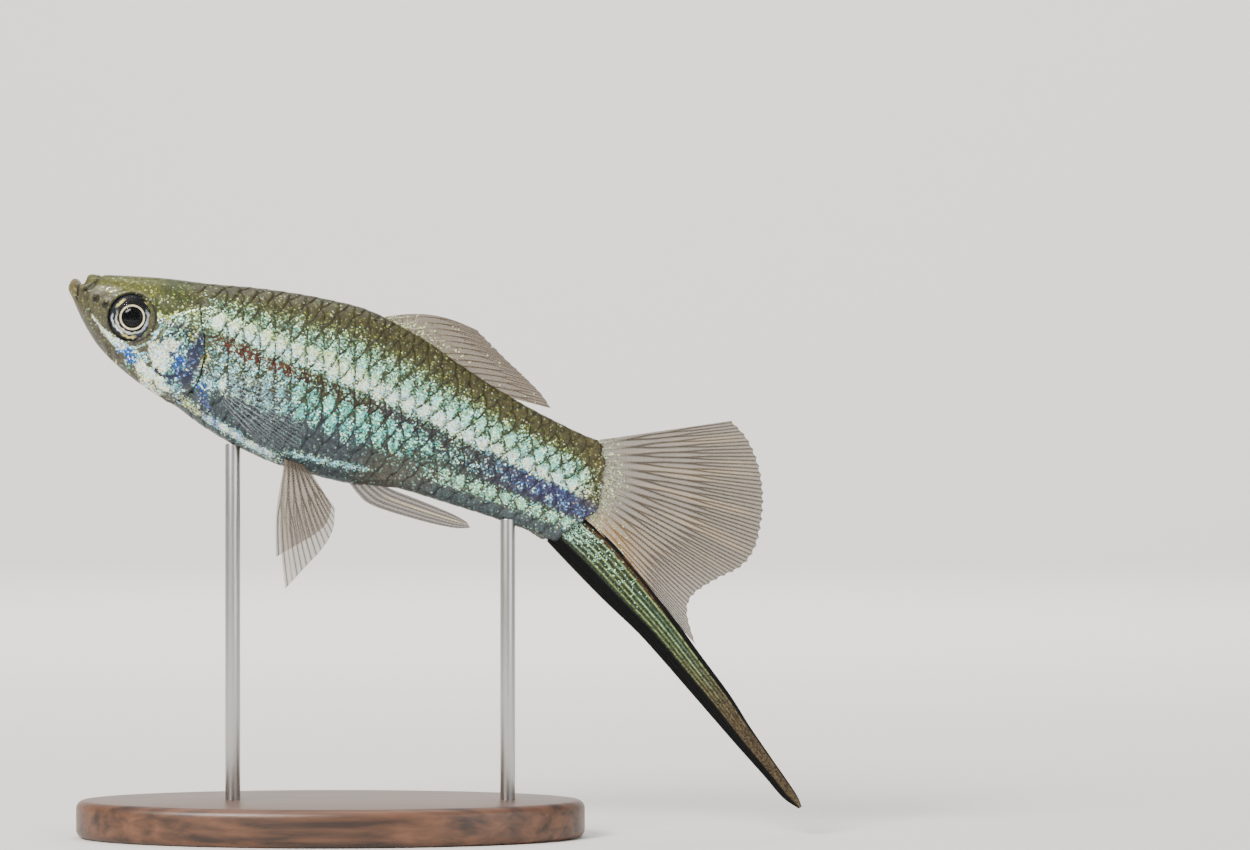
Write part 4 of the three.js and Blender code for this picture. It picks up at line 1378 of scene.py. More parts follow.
def scale_coat(name, centres, body, seed):
    """Overlapping scales, each a thin closed plate that rises to its rounded rear edge."""
    draw = np.random.default_rng(seed)
    # On one scale, a runs from its hidden root to its rear edge and b from side to side.
    b, a = np.meshgrid(np.linspace(-1, 1, SCALE_COLUMNS), np.linspace(0, 1, SCALE_RINGS))
    a, b = a.ravel(), b.ravel()
    plate, faces_one = len(a), scale_faces()
    rounded = np.sqrt(np.maximum(0, 1 - 0.93 * b * b))
    lengthwise = -0.75 + a * (0.75 + 0.62 * rounded + 0.05)
    row_height = 2 / SCALE_ROWS
    width = b * row_height * (0.98 - 0.12 * (1 - a))
    lift = -COAT_DEPTH + (body.scale_rise / MM + 0.012) * rise(a, 0.1, 1.0) * (1 - 0.35 * b * b)
    lift = lift + 0.012 * (1 - b * b) * np.sin(math.pi * a)
    thick = body.scale_thickness / MM * (1 - 0.35 * a)
    middle = rise(a, 0.2, 0.6) * (1 - rise(a, 0.86, 1.0)) * (1 - rise(np.abs(b), 0.4, 0.95))
    points, faces, edges, own, root_u, root_v = [], [], [], [], [], []
    for n, (along0, girth0) in enumerate(centres):
        shift, swing, height = draw.normal(0, 0.03, 3)
        along = along0 + shift * 2 + lengthwise * SCALE_PITCH
        girth = (girth0 + swing * row_height * 0.4 + width + 1) % 2 - 1
        turn = turn_of(along, girth)
        for depth in (-0.02 * height, thick):
            points.append(in_place(along, *section(along, turn, (lift - depth) / PERCENT)))
        faces += [tuple(i + n * plate * 2 for i in face) for face in faces_one]
        # Painted shade along each scale's rear edge, heaviest on the side that faces the stripe.
        facing = (b if abs(girth0) < stripe_place(along0) else -b) * (1 if girth0 >= 0 else -1)
        dark = rise(a, 0.84, 0.98) * (0.15 + 0.85 * rise(facing, -0.1, 0.5))
        edges.append(np.tile(dark, 2))
        own.append(np.full(plate * 2, np.clip(1 + 0.35 * draw.normal(), 0.3, 1.7)))
        u, v = unrolled(along0, girth0)
        root_u.append(np.tile(u + (lengthwise - 0.3) * PATCH, 2))
        root_v.append(np.tile(v + b * PATCH, 2))
    obj = mesh_piece(name, np.concatenate(points), faces)
    cells = np.tile(middle, 2 * len(centres))
    paint_body(obj, cells, np.concatenate(edges), np.concatenate(own))
    keep_uv(obj, "OFBake", np.concatenate(root_u), np.concatenate(root_v))
    smooth(obj)
    return obj


class SWORDTAIL_OT_scales(bpy.types.Operator):
    """Lay the scales over the skin, one coat for each flank"""

    bl_idname = "swordtail.scales"
    bl_label = "Scales"

    def execute(self, context):
        body = context.scene.swordtail_body
        centres = scale_centres()
        material = scaled_skin("scale_plates")
        for name, keep, seed in (
            ("scales_left", centres[:, 1] > 0, 11), ("scales_right", centres[:, 1] <= 0, 12),
        ):
            coat = scale_coat(name, centres[keep], body, seed)
            wear(coat, material, "skin")
        return {"FINISHED"}


# Gill covers.


PLATE_MIDDLE = (23.0, -2.6)
PLATE_RIDGE = [(21.6, 2.6), (20.6, -1.6), (21, -5.8), (23.4, -9)]


def plate_shape(plate, side):
    """Spreads a grid over the gill cover: x runs round its outline and y out from its middle."""
    outline = line_through(
        [*GILL_COVER_REAR, (23.6, -12.2), *GILL_COVER_FRONT, GILL_COVER_REAR[0]], 10
    )
    co = coordinates(plate)
    edge_along, edge_level = along_line(outline, co[:, 0] + 0.5)
    out = between(0.02, 1, co[:, 1] + 0.5)
    along = between(PLATE_MIDDLE[0], edge_along, out)
    level = between(PLATE_MIDDLE[1], edge_level, out)
    # It stands free along its rear edge and sinks into the cheek in front.
    rear = rise(along, 20, 26)
    grow = 0.1 + 0.1 * rear * rise(out, 0.4, 0.95) - 0.3 * rise(out, 0.86, 1.0) * (1 - rear)
    grow = grow - 0.12 * rise(out, 0.93, 1.0) * rear
    ridge = near_line(along, level, line_through(PLATE_RIDGE))
    grow = grow + 0.07 * band(ridge, 0.1, 0.1, 0.5) - 0.09 * band(ridge, 0.75, 0.1, 0.35)
    folds = np.sin((along * 0.5 - level) * 3.4) * rise(-level, 6.5, 9)
    grow = grow + 0.02 * folds
    flank = flank_at(along, np.maximum(level, belly_line(along) + 0.6))
    return in_place(along, side * (flank + grow / PERCENT), level)


def plate_coat(plate):
    """The gill cover's coat: mirror silver, shaded at its top, with a dark crescent and a dark
    band before its rear edge."""
    along, across, level = in_percent(coordinates(plate))
    coat = markings(along, level, girth_of(along, across, level), 0.4, 0.0, 1.0)
    silver = 1 - rise(np.hypot((along - 22.4) / 4.6, (level + 4.6) / 7.6), 0.55, 1.0)
    coat.tint("silver", silver)
    coat.tint("shaded", silver * rise(level, -2.4, -0.6) * 0.9)
    coat.fill_up_to(0.46, silver)
    coat.light("cyan", silver * 0.8)
    coat.put(PLATE_MARKS)
    crescent = 1 - rise(near_line(along, level, line_through(PLATE_LINE)), 0.12, 0.45)
    coat.tint("navy", crescent)
    coat.thin(0.9 * crescent)
    rear_band = band(along + 0.35 * wander(along, level, 3, 2), 26.1, 0.45, 0.9)
    rear_band = rear_band * rise(level, -9.5, -7) * (1 - rise(level, 0.5, 2.5))
    coat.tint("navy", rear_band * 0.9)
    coat.light("violet", rear_band * 0.7)
    coat.thin(0.6 * rear_band)
    return coat


class SWORDTAIL_OT_gill_covers(bpy.types.Operator):
    """Model the bony gill cover of each side, free along its rear edge"""

    bl_idname = "swordtail.gill_covers"
    bl_label = "Gill covers"

    def execute(self, context):
        material = gill_silver()
        for side, tag in ((-1, "left"), (1, "right")):
            deselect()
            bpy.ops.mesh.primitive_grid_add(x_subdivisions=96, y_subdivisions=34, size=1)
            plate = bpy.context.object
            move_to(plate, plate_shape(plate, side))
            # Joins the grid's two ends, and the crowded points at its middle.
            edit_all(plate, (bpy.ops.mesh.remove_doubles, {"threshold": 0.02 * MM}))
            finish_with(plate, "SOLIDIFY", thickness=0.16 * MM, offset=-1 if side < 0 else 1)
            face_outwards(plate)
            plate_coat(plate).keep(plate)
            smooth(plate)
            settle(plate, f"gill_plate_{tag}")
            wear(plate, material, "gill_silver", f"gill_cover_{tag}")
        return {"FINISHED"}


# Eyes.


# Marks on the iris: colour, radius, half width and softness in millimetres, then the way it faces
# and how far it spreads to each side, in degrees from the rear and up.
IRIS_MARKS = [
    ("#1c232b", 2.1, 0.22, 0.16, 0, 400),
    ("#323d4a", 2.0, 0.28, 0.2, -20, 60),
    ("#191f26", 1.95, 0.22, 0.2, 180, 50),
    ("#15161a", 1.48, 0.08, 0.08, 0, 400),
    ("#cfcdc2", 1.68, 0.06, 0.09, -95, 100),
    ("#aab4ba", 1.7, 0.06, 0.1, 15, 60),
    ("#101010", 1.8, 0.35, 0.15, 88, 62),
    ("#d9c878", 2.02, 0.07, 0.08, 150, 22),
    ("#ece2ac", 2.12, 0.05, 0.07, 42, 34),
    ("#7f93a6", 1.95, 0.08, 0.12, 10, 24),
    ("#e2e0d2", 1.98, 0.06, 0.08, -118, 26),
    ("#c9b878", 2.1, 0.06, 0.08, -80, 26),
    ("#c3ccd2", 2.16, 0.04, 0.06, -150, 24),
    ("#14161c", 2.42, 0.06, 0.1, 0, 400),
]


# How close the rings of the eyeball's mesh lie, in millimetres.
RING_SPACING = 0.07


def eye_disc(name, side, profile):
    """A closed shape turned round the eye's axis. The profile gives the radius of each ring and
    how far out it lies from the eyeball's middle, in millimetres."""
    segments = 96
    angle = np.arange(segments) * 2 * math.pi / segments
    points = []
    for radius, out in profile:
        along = EYE_CENTRE[0] + radius * np.cos(angle) / PERCENT
        level = EYE_CENTRE[1] + radius * np.sin(angle) / PERCENT
        points.append(in_place(along, side * (EYE_OUT + out) / PERCENT, level))
    first = range(segments)
    last = range((len(profile) - 1) * segments, len(profile) * segments)
    faces = [*ring_faces(len(profile), segments), tuple(first)[::-1], tuple(last)]
    obj = mesh_piece(name, np.concatenate(points), faces)
    face_outwards(obj)
    smooth(obj)
    return obj


def dome(radius, bulge, steps):
    """Rings of a dome from its rim to its top."""
    turns = np.linspace(math.pi / 2, 0, steps)
    return [(radius * math.sin(turn), bulge * math.cos(turn)) for turn in turns]


def ball_profile(radius, iris, pupil):
    """Rings of the eyeball: its back, then the iris as a shallow dish."""
    corners = [
        (0.3, -1.1), (1.4, -1.0), (2.2, -0.6), (radius, 0.0), (radius - 0.06, 0.32),
        (radius - 0.2, 0.5), (iris + 0.25, 0.66), (iris, 0.72), (pupil + 0.25, 0.74),
        (pupil, 0.66), (pupil - 0.15, 0.5), (0.2, 0.45),
    ]
    rings = []
    for (r0, out0), (r1, out1) in zip(corners[:-1], corners[1:]):
        steps = max(1, int(math.hypot(r1 - r0, out1 - out0) / RING_SPACING))
        for share in np.arange(steps) / steps:
            rings.append((between(r0, r1, share), between(out0, out1, share)))
    return [*rings, corners[-1]]


def paint_iris(ball, pupil):
    """Lays the iris's marks, a bright rim round the pupil, and the pupil."""
    along, _, level = in_percent(coordinates(ball))
    a, b = (along - EYE_CENTRE[0]) * PERCENT, (level - EYE_CENTRE[1]) * PERCENT
    radius, turn = np.hypot(a, b), np.degrees(np.arctan2(b, a))
    uneven = radius + 0.07 * wander(a, b, 1.1, 3) + 0.05 * wander(a, b, 0.5, 5)
    layers = []
    for code, reach, half, soft, facing, spread in IRIS_MARKS:
        away = np.abs((turn - facing + 180) % 360 - 180)
        here = band(uneven, reach, half, soft) * (1 - rise(away, spread * 0.5, spread))
        layers.append((code, here))
    layers.append(("#f3e6bc", band(radius, pupil + 0.12, 0.05, 0.07)))
    layers.append(("#030303", 1 - rise(radius, pupil - 0.04, pupil + 0.02)))
    keep_colour(ball, "tone", layered(along, "#14181c", *layers))


class SWORDTAIL_OT_eyes(bpy.types.Operator):
    """Model each eye: eyeball with its iris, the black lens and the clear cornea"""

    bl_idname = "swordtail.eyes"
    bl_label = "Eyes"

    def execute(self, context):
        eyes = context.scene.swordtail_eyes
        radius, iris, pupil, bulge = (
            size / MM for size in (eyes.radius, eyes.iris, eyes.pupil, eyes.bulge)
        )
        foil, black, clear = iris_foil(), lens_black(), cornea()
        for side, tag in ((-1, "left"), (1, "right")):
            ball = eye_disc(f"iris_{tag}", side, ball_profile(radius, iris, pupil))
            paint_iris(ball, pupil)
            wear(ball, foil, "eye", f"eye_{tag}")
            top = [(r, 0.52 + out) for r, out in dome(pupil - 0.02, 0.3, 14)[:-1]]
            lens = eye_disc(f"lens_{tag}", side, [(0.2, 0.3), *top, (0.05, 0.82)])
            wear(lens, black, "eye", f"eye_{tag}")
            shell = [(radius - 0.02, 0.2), *dome(radius - 0.03, bulge, 22)[:-1], (0.05, bulge)]
            glass = eye_disc(f"cornea_{tag}", side, shell)
            wear(glass, clear, "eye", f"eye_{tag}")
        return {"FINISHED"}


# Fins.


def ray_field(u, v, count, forks, width_mm, ray_mm):
    """How high each point stands on a ray, 0 to 1, for rays that fork towards the tip.

    width_mm is the fin's width at each point, and ray_mm the half width of a ray there."""
    cell = 1 / count
    place = np.clip(np.floor(u / cell), 0, count - 1)
    from_ray = u - (place + 0.5) * cell
    offsets = [np.zeros_like(v)]
    for level, fork in enumerate(forks):
        step = cell * 0.25 / 2 ** level * rise(v, fork, fork + 0.22)
        offsets = [o + sign * step for o in offsets for sign in (-1, 1)]
    far = np.min([np.abs(from_ray - o) for o in offsets], axis=0) * width_mm
    return np.exp(-((far / ray_mm) ** 2))


def fin_piece(
    name, node, grid, at, ray_of, tone_of, material, film, ridge, reach_mm, slot="fin",
    fleck_of=None,
):
    """Shapes a grid into a fin, thickens it by its rays, and colours it. On the grid u runs across
    the fin and v from its root to its tip. The film's thickness, the ridge of a ray and the fin's
    reach are in millimetres."""
    deselect()
    bpy.ops.mesh.primitive_grid_add(x_subdivisions=grid[0], y_subdivisions=grid[1], size=1)
    obj = bpy.context.object
    u, v = coordinates(obj)[:, :2].T + 0.5
    move_to(obj, in_place(*at(u, v)))
    ray = ray_of(u, v)
    keep_value(obj, "ray", ray)
    keep_value(obj, "reach", v * reach_mm)
    keep_colour(obj, "tone", tone_of(u, v, ray))
    keep_value(obj, "fleck", fleck_of(u, v) if fleck_of else 0 * u)
    # The rays flatten towards the tip, and the fin is thinner along its edges.
    thick = film + ridge * ray * (1 - 0.6 * v)
    thick *= 1 - 0.75 * rise(v, 0.94, 1.0)
    thick *= 1 - 0.5 * rise(np.abs(u - 0.5), 0.49, 0.5)
    most = thick.max()
    group = obj.vertex_groups.new(name="thick")
    for index, weight in enumerate(thick / most):
        group.add([index], float(weight), "REPLACE")
    finish_with(
        obj, "SOLIDIFY", thickness=most * MM, offset=0, vertex_group="thick", use_even_offset=False
    )
    obj.vertex_groups.clear()
    face_outwards(obj)
    smooth(obj)
    settle(obj, name)
    return wear(obj, material, slot, node)


def fin_sizes(context):
    """The film's thickness, a ray's height and the spacing of its joints, in millimetres."""
    fins = context.scene.swordtail_fins
    return fins.film / MM, fins.ray_height / MM, fins.joint / MM


def notched(u, v, notches, depth, start):
    """How far along its ray each point lies, where the rays end unevenly from start on."""
    return v * (1 - depth * np.abs(np.sin(u * notches * math.pi)) * rise(v, start, 1))


def across_edges(upper, lower, u, v):
    """Points of a long fin: v runs along both edges and u from the upper to the lower one."""
    return (between(a, b, u) for a, b in zip(along_line(upper, v), along_line(lower, v)))


# Where the dorsal fin's root starts and ends along the body, and the tips of its rays.
DORSAL_ROOT = (52.3, 76.8)
DORSAL_TIPS = [
    (70.6, 19.2), (74.3, 17.5), (77.4, 16.1), (80.4, 14.9), (82.9, 13.8), (85.2, 12.7), (87.6, 11),
]


class SWORDTAIL_OT_dorsal_fin(bpy.types.Operator):
    """Model the dorsal fin, laid back along the body"""

    bl_idname = "swordtail.dorsal_fin"
    bl_label = "Dorsal fin"

    def execute(self, context):
        film, ridge, joint = fin_sizes(context)
        tips = line_through(DORSAL_TIPS)

        def at(u, v):
            root = between(*DORSAL_ROOT, u)
            root_level = back_line(root) - 1.2
            tip_along, tip_level = along_line(tips, u)
            share = notched(u, v, 12, 0.014, 0.7)
            bow = 1.9 * (1 - u) * np.sin(math.pi * v)
            sway = 0.35 / PERCENT * np.sin(math.pi * 1.3 * u) * v * v
            ripple = 0.05 / PERCENT * np.sin(u * 24 * math.pi) * v
            level = between(root_level, tip_level, share) + bow
            return between(root, tip_along, share), sway + ripple, level

        def rays(u, v):
            return ray_field(u, v, 13, (0.5,), 14.0 - 4.5 * v, 0.1 - 0.05 * v)

        def tone(u, v, ray):
            return layered(
                u, "#5a4727",
                ("#322314", ray * 0.85),
                ("#cfc7b8", ray * (1 - rise(v, 0.1, 0.5)) * (1 - rise(u, 0.2, 0.6)) * 0.8),
                ("#4b3a2c", rise(v, 0.86, 0.99) * 0.5),
            )

        def fleck(u, v):
            return 0.3 * (1 - rise(v, 0.1, 0.45)) * (1 - rise(u, 0.3, 0.8)) + 0.012

        fin_piece(
            "dorsal_sail", "dorsal_fin", (230, 70), at, rays, tone,
            fin_film("dorsal_film", joint, 0.6, 0.9), film, ridge, reach_mm=11, fleck_of=fleck,
        )
        return {"FINISHED"}


# The levels of the tail fan's first and last root, and the tips of its rays.
FAN_ROOT = (8.3, -4.9)
FAN_TIPS = [
    (118.2, 20.4), (122, 18.5), (125.6, 14.8), (128.2, 10.2), (129.7, 5.2), (130.2, 0.6), (129, -3.2),
    (125.6, -7), (122.9, -11), (123.2, -14.4), (126.6, -19),
]


class SWORDTAIL_OT_tail_fan(bpy.types.Operator):
    """Model the tail fin's fan of forking rays"""

    bl_idname = "swordtail.tail_fan"
    bl_label = "Tail fan"

    def execute(self, context):
        film, ridge, joint = fin_sizes(context)
        tips = line_through(FAN_TIPS)

        def at(u, v):
            root_level = between(*FAN_ROOT, u)
            root = tail_root(root_level) - 0.9
            tip_along, tip_level = along_line(tips, u)
            share = notched(u, v, 30, 0.012, 0.75)
            sway = 0.5 / PERCENT * np.sin(2 * math.pi * u + 0.6) * v * v
            return between(root, tip_along, share), sway, between(root_level, tip_level, share)

        def rays(u, v):
            return ray_field(u, v, 16, (0.2, 0.5), 9 + 17 * v, 0.12 - 0.065 * v)

        def tone(u, v, ray):
            streaks = rise(wander(u * 60, v * 4, 5, 3), 0.1, 0.9) * band(v, 0.6, 0.25, 0.2)
            return layered(
                u, "#544426",
                ("#2c2012", ray * 0.8),
                ("#a08252", streaks * (1 - ray) * 0.5),
                ("#1e1a16", band(v, 0.085, 0.004, 0.012) * band(u, 0.25, 0.2, 0.15) * 0.8),
                ("#a87818", rise(u, 0.66, 0.95) * (1 - rise(v, 0.25, 0.75)) * 0.5),
                ("#b9b7a8", ray * (1 - rise(v, 0.05, 0.25)) * 0.7),
            )

        def fleck(u, v):
            at_root = 0.3 * (1 - rise(v, 0.0, 0.2))
            return at_root + 0.16 * rise(u, 0.7, 1) * (1 - rise(v, 0.1, 0.5))

        fin_piece(
            "fan_rays", "tail_fan", (440, 84), at, rays, tone,
            fin_film("fan_film", joint, 0.52, 0.86), film, ridge * 1.2, reach_mm=17,
            fleck_of=fleck,
        )
        return {"FINISHED"}


SWORD_UPPER = [
    (99.2, -4.9), (105.3, -6.9), (110.6, -9.6), (116, -12.8), (122, -16.4), (127.8, -20.2),
    (135.3, -25), (140.5, -28.9), (146.3, -32.9), (152.4, -37.1), (154.3, -39),
]
SWORD_LOWER = [
    (95.2, -11.2), (100.4, -13.7), (108, -17.2), (115.9, -20.5), (121.3, -23.2), (127.3, -26.4),
    (133.5, -29.7), (139.5, -32.9), (146.1, -36.3), (150.6, -38.7), (153.9, -39.5),
]
SWORD_RAYS = 9


class SWORDTAIL_OT_sword(bpy.types.Operator):
    """Model the sword, the long lower rays of the tail fin"""

    bl_idname = "swordtail.sword"
    bl_label = "Sword"

    def execute(self, context):
        green = context.scene.swordtail_fins.sword_green
        upper, lower = line_through(SWORD_UPPER), line_through(SWORD_LOWER)

        def at(u, v):
            along, level = across_edges(upper, lower, u, v)
            return along, 0.6 / PERCENT * v * v, level

        def rays(u, v):
            width = 4.6 * (1 - v) ** 0.75 + 0.4
            cell = 1 / SWORD_RAYS
            far = np.abs((u / cell) % 1 - 0.5) * cell * width
            return np.exp(-((far / (0.03 + 0.12 * cell * width)) ** 2))

        def tone(u, v, ray):
            # Each bright line has its own strength, and they fade to brown towards the tip.
            strength = 0.62 + 0.38 * np.sin(np.floor(u * SWORD_RAYS) * 2.3 + 0.6)
            browned = rise(v, 0.36, 0.72)
            bright = layered(
                u, green,
                ("#a9e2cd", 0.8 * (1 - rise(v, 0.0, 0.16))),
                ("#7fd0a4", band(u, 0.3, 0.05, 0.08) * rise(v, 0.16, 0.3) * 0.7),
                ("#6a5a3e", browned),
            )
            inner = rise(u, 0.08, 0.16) * (1 - rise(u, 0.64, 0.72))
            glitter = 0.75 + 0.25 * wander(u * 40, v * 260, 3, 2)
            shown = ray ** 1.5 * inner * strength * (1 - 0.45 * rise(v, 0.5, 0.9)) * glitter
            heavy = 0.06 * band(v, 0.52, 0.12, 0.14)
            return layered(
                u, "#30352a",
                ("#43382a", browned * 0.9),
                (bright, shown),
                ("#4a2c16", band(u, 0.1, 0.012, 0.02) * (1 - rise(v, 0.3, 0.6)) * 0.8),
                ("#080808", 1 - rise(u, 0.05 + heavy, 0.1 + heavy)),
                ("#060607", rise(u, 0.68 - 0.1 * v, 0.74 - 0.1 * v)),
                ("#5d5647", rise(u, 0.975, 0.995) * 0.6),
            )

        def fleck(u, v):
            at_root = 0.5 * (1 - rise(v, 0.0, 0.09)) * band(u, 0.4, 0.2, 0.1)
            return at_root + 0.14 * (1 - rise(v, 0.08, 0.35)) * band(u, 0.35, 0.2, 0.1)

        fin_piece(
            "sword_blade", "sword", (84, 280), at, rays, tone, sword_enamel(), film=0.24,
            ridge=0.2, reach_mm=38, slot="sword", fleck_of=fleck,
        )
        return {"FINISHED"}


GONO_UPPER = [(63, -11.4), (65.5, -12.4), (72, -12.5), (78, -12.7), (80.8, -13.1)]
GONO_LOWER = [(57, -12.8), (61, -15.4), (64.4, -16.4), (72.7, -15.9), (78.8, -15), (81.8, -13.9)]


class SWORDTAIL_OT_gonopodium(bpy.types.Operator):
    """Model the male's rod-like anal fin"""

    bl_idname = "swordtail.gonopodium"
    bl_label = "Gonopodium"

    def execute(self, context):
        _, _, joint = fin_sizes(context)
        upper, lower = line_through(GONO_UPPER), line_through(GONO_LOWER)

        def at(u, v):
            along, level = across_edges(upper, lower, u, v)
            return along, 0 * u, level

        def rays(u, v):
            far = np.abs((u * 5) % 1 - 0.5) / 5 * 2.2
            return np.exp(-((far / 0.12) ** 2))

        def tone(u, v, ray):
            speckled = 0.5 + 0.5 * wander(u * 20, v * 130, 2.6, 3)
            return layered(
                u, "#77706a",
                ("#3f3a34", ray * 0.7),
                ("#cfc08a", band(u, 0.42, 0.03, 0.05) * rise(v, 0.2, 0.35) * speckled),
            )

        fin_piece(
            "gonopodium_rod", "gonopodium", (48, 130), at, rays, tone,
            fin_film("gonopodium_film", joint, 0.55, 0.9), film=0.3, ridge=0.3, reach_mm=12,
        )
        return {"FINISHED"}


PELVIC_TIPS = [(55.6, -36), (57.6, -30.6), (59, -26.8), (59.5, -23), (58.4, -19.2)]


class SWORDTAIL_OT_paired_fins(bpy.types.Operator):
    """Model the pectoral and pelvic fins of both sides"""

    bl_idname = "swordtail.paired_fins"
    bl_label = "Paired fins"

    def execute(self, context):
        film, ridge, joint = fin_sizes(context)
        thin = fin_film("pectoral_film", joint * 0.8, 0.012, 0.34)
        for side, tag in ((-1, "left"), (1, "right")):
            self.pectoral(side, tag, thin, film * 0.8, ridge * 0.7)
        firm = fin_film("pelvic_film", joint, 0.32, 0.8)
        # The right one swings further forward and out, so its tip shows beyond the left one.
        for side, tag, forward, splay in ((-1, "left", 0, 16), (1, "right", 13, 40)):
            self.pelvic(side, tag, forward, splay, firm, film, ridge)
        return {"FINISHED"}

    def pectoral(self, side, tag, material, film, ridge):
        """A pectoral fin, spread like a fan and flared out from the flank."""
        flare = math.radians(15)

        def at(u, v):
            along, level = between(32.2, 34, u), between(-3.6, -8.8, u)
            angle = np.radians(between(9, -27, u))
            longest = between(between(12.5, 12, u), 18, np.sin(math.pi * u))
            reach = longest * notched(u, v, 12, 0.025, 0.8)
            out = flank_at(along, level) - 0.36 / PERCENT + math.sin(flare) * reach
            out = out + 0.7 / PERCENT * np.sin(math.pi * v)
            back = math.cos(flare) * reach
            return along - 1.0 + back * np.cos(angle), side * out, level + back * np.sin(angle)

        def rays(u, v):
            return ray_field(u, v, 11, (0.4,), 3.2 + 7 * v, 0.06 - 0.025 * v)

        def tone(u, v, ray):
            return layered(u, "#4e565a", ("#8b959a", ray))

        fin_piece(
            f"pectoral_{tag}", f"pectoral_fin_{tag}", (150, 64), at, rays, tone, material, film,
            ridge, reach_mm=10.5,
        )

    def pelvic(self, side, tag, forward, splay, material, film, ridge):
        """A pelvic fin, swung forward and splayed out from the belly by degrees."""
        tips = line_through(PELVIC_TIPS)
        turn, tilt = math.radians(-forward), math.radians(splay)

        def at(u, v):
            along, level = between(46.8, 50.6, u), between(-14.2, -14.0, u)
            tip_along, tip_level = along_line(tips, u)
            reach_a, reach_l = tip_along - along, tip_level - level
            back = reach_a * math.cos(turn) - reach_l * math.sin(turn)
            down = reach_a * math.sin(turn) + reach_l * math.cos(turn)
            bow = 0.5 / PERCENT * np.sin(math.pi * v) * (1 - u)
            out = 2 / PERCENT - math.sin(tilt) * down * v
            return along + back * v - bow, side * out, level + math.cos(tilt) * down * v

        def rays(u, v):
            return ray_field(u, v, 7, (0.4,), 2.4 + 5 * v, 0.09 - 0.04 * v)

        def tone(u, v, ray):
            return layered(
                u, "#635542", ("#372d20", ray * 0.8), ("#b8a98c", band(u, 0.1, 0.02, 0.04) * 0.3)
            )

        fin_piece(
            f"pelvic_{tag}", f"pelvic_fin_{tag}", (110, 90), at, rays, tone, material, film, ridge,
            reach_mm=13,
        )


# Stand.


# How far a rod's foot goes down beyond the CAD model's, into the base, in millimetres.
LET_IN = 1.0


class SWORDTAIL_OT_stand(bpy.types.Operator):
    """Model the display stand: an oval wooden base and two steel rods"""

    bl_idname = "swordtail.stand"
    bl_label = "Stand"

    def execute(self, context):
        stand = context.scene.swordtail_stand
        low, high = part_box("stand_base")
        centre, size = (low + high) / 2, high - low
        deselect()
        bpy.ops.mesh.primitive_cylinder_add(
            vertices=160, radius=0.5, depth=1, location=centre, scale=(size.x, size.y, size.z)
        )
        base = settle(bpy.context.object, "wooden_base")
        self.round_off(base, stand.edge, 6)
        wear(base, walnut(stand.dark_wood, stand.light_wood), "stand_wood", "stand_base")
        steel = drawn_steel()
        for tag in ("front", "rear"):
            low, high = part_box(f"stand_rod_{tag}")
            centre, size = (low + high) / 2, high - low
            deselect()
            bpy.ops.mesh.primitive_cylinder_add(
                vertices=48, radius=size.x / 2, depth=size.z + LET_IN * MM,
                location=(centre.x, centre.y, centre.z - LET_IN / 2 * MM),
            )
            rod = settle(bpy.context.object, f"steel_rod_{tag}")
            self.round_off(rod, 0.12 * MM, 3)
            wear(rod, steel, "stand_steel", f"stand_rod_{tag}")
        return {"FINISHED"}

    def round_off(self, obj, width, segments):
        """Rounds a turned piece's rims."""
        finish_with(
            obj, "BEVEL", width=width, segments=segments, limit_method="ANGLE", angle_limit=1.0
        )
        smooth_by_angle(obj)


# Stage.


PHOTO = {"width": 1250, "height": 850, "nose": (67, 289), "mm_per_pixel": BODY_LENGTH / 565}

# The floor's radius, the radius of its bend into the wall, and the wall's height, in metres.
FLOOR, BEND, WALL = 1.0, 0.4, 0.3

# Where each light stands and what it points at, its size in metres, its watts and its colour.
MODEL, BACK_WALL = (0.01, 0, 0.04), (0, 1.4, 0.1)
LIGHTS = {
    "key": ((-0.3, -0.45, 0.42), MODEL, 0.3, 7.5, (1.0, 0.97, 0.93)),
    "fill": ((0.5, -0.45, 0.2), MODEL, 0.5, 1.6, (0.92, 0.96, 1.0)),
    "top": ((0.0, 0.05, 0.6), MODEL, 0.5, 1.7, (1.0, 1.0, 1.0)),
    "wall": ((0.0, 0.45, 0.75), BACK_WALL, 0.7, 14.0, (1.0, 1.0, 1.0)),
}
AIR = {"Color": (0.9, 0.93, 1.0, 1), "Strength": 0.6}


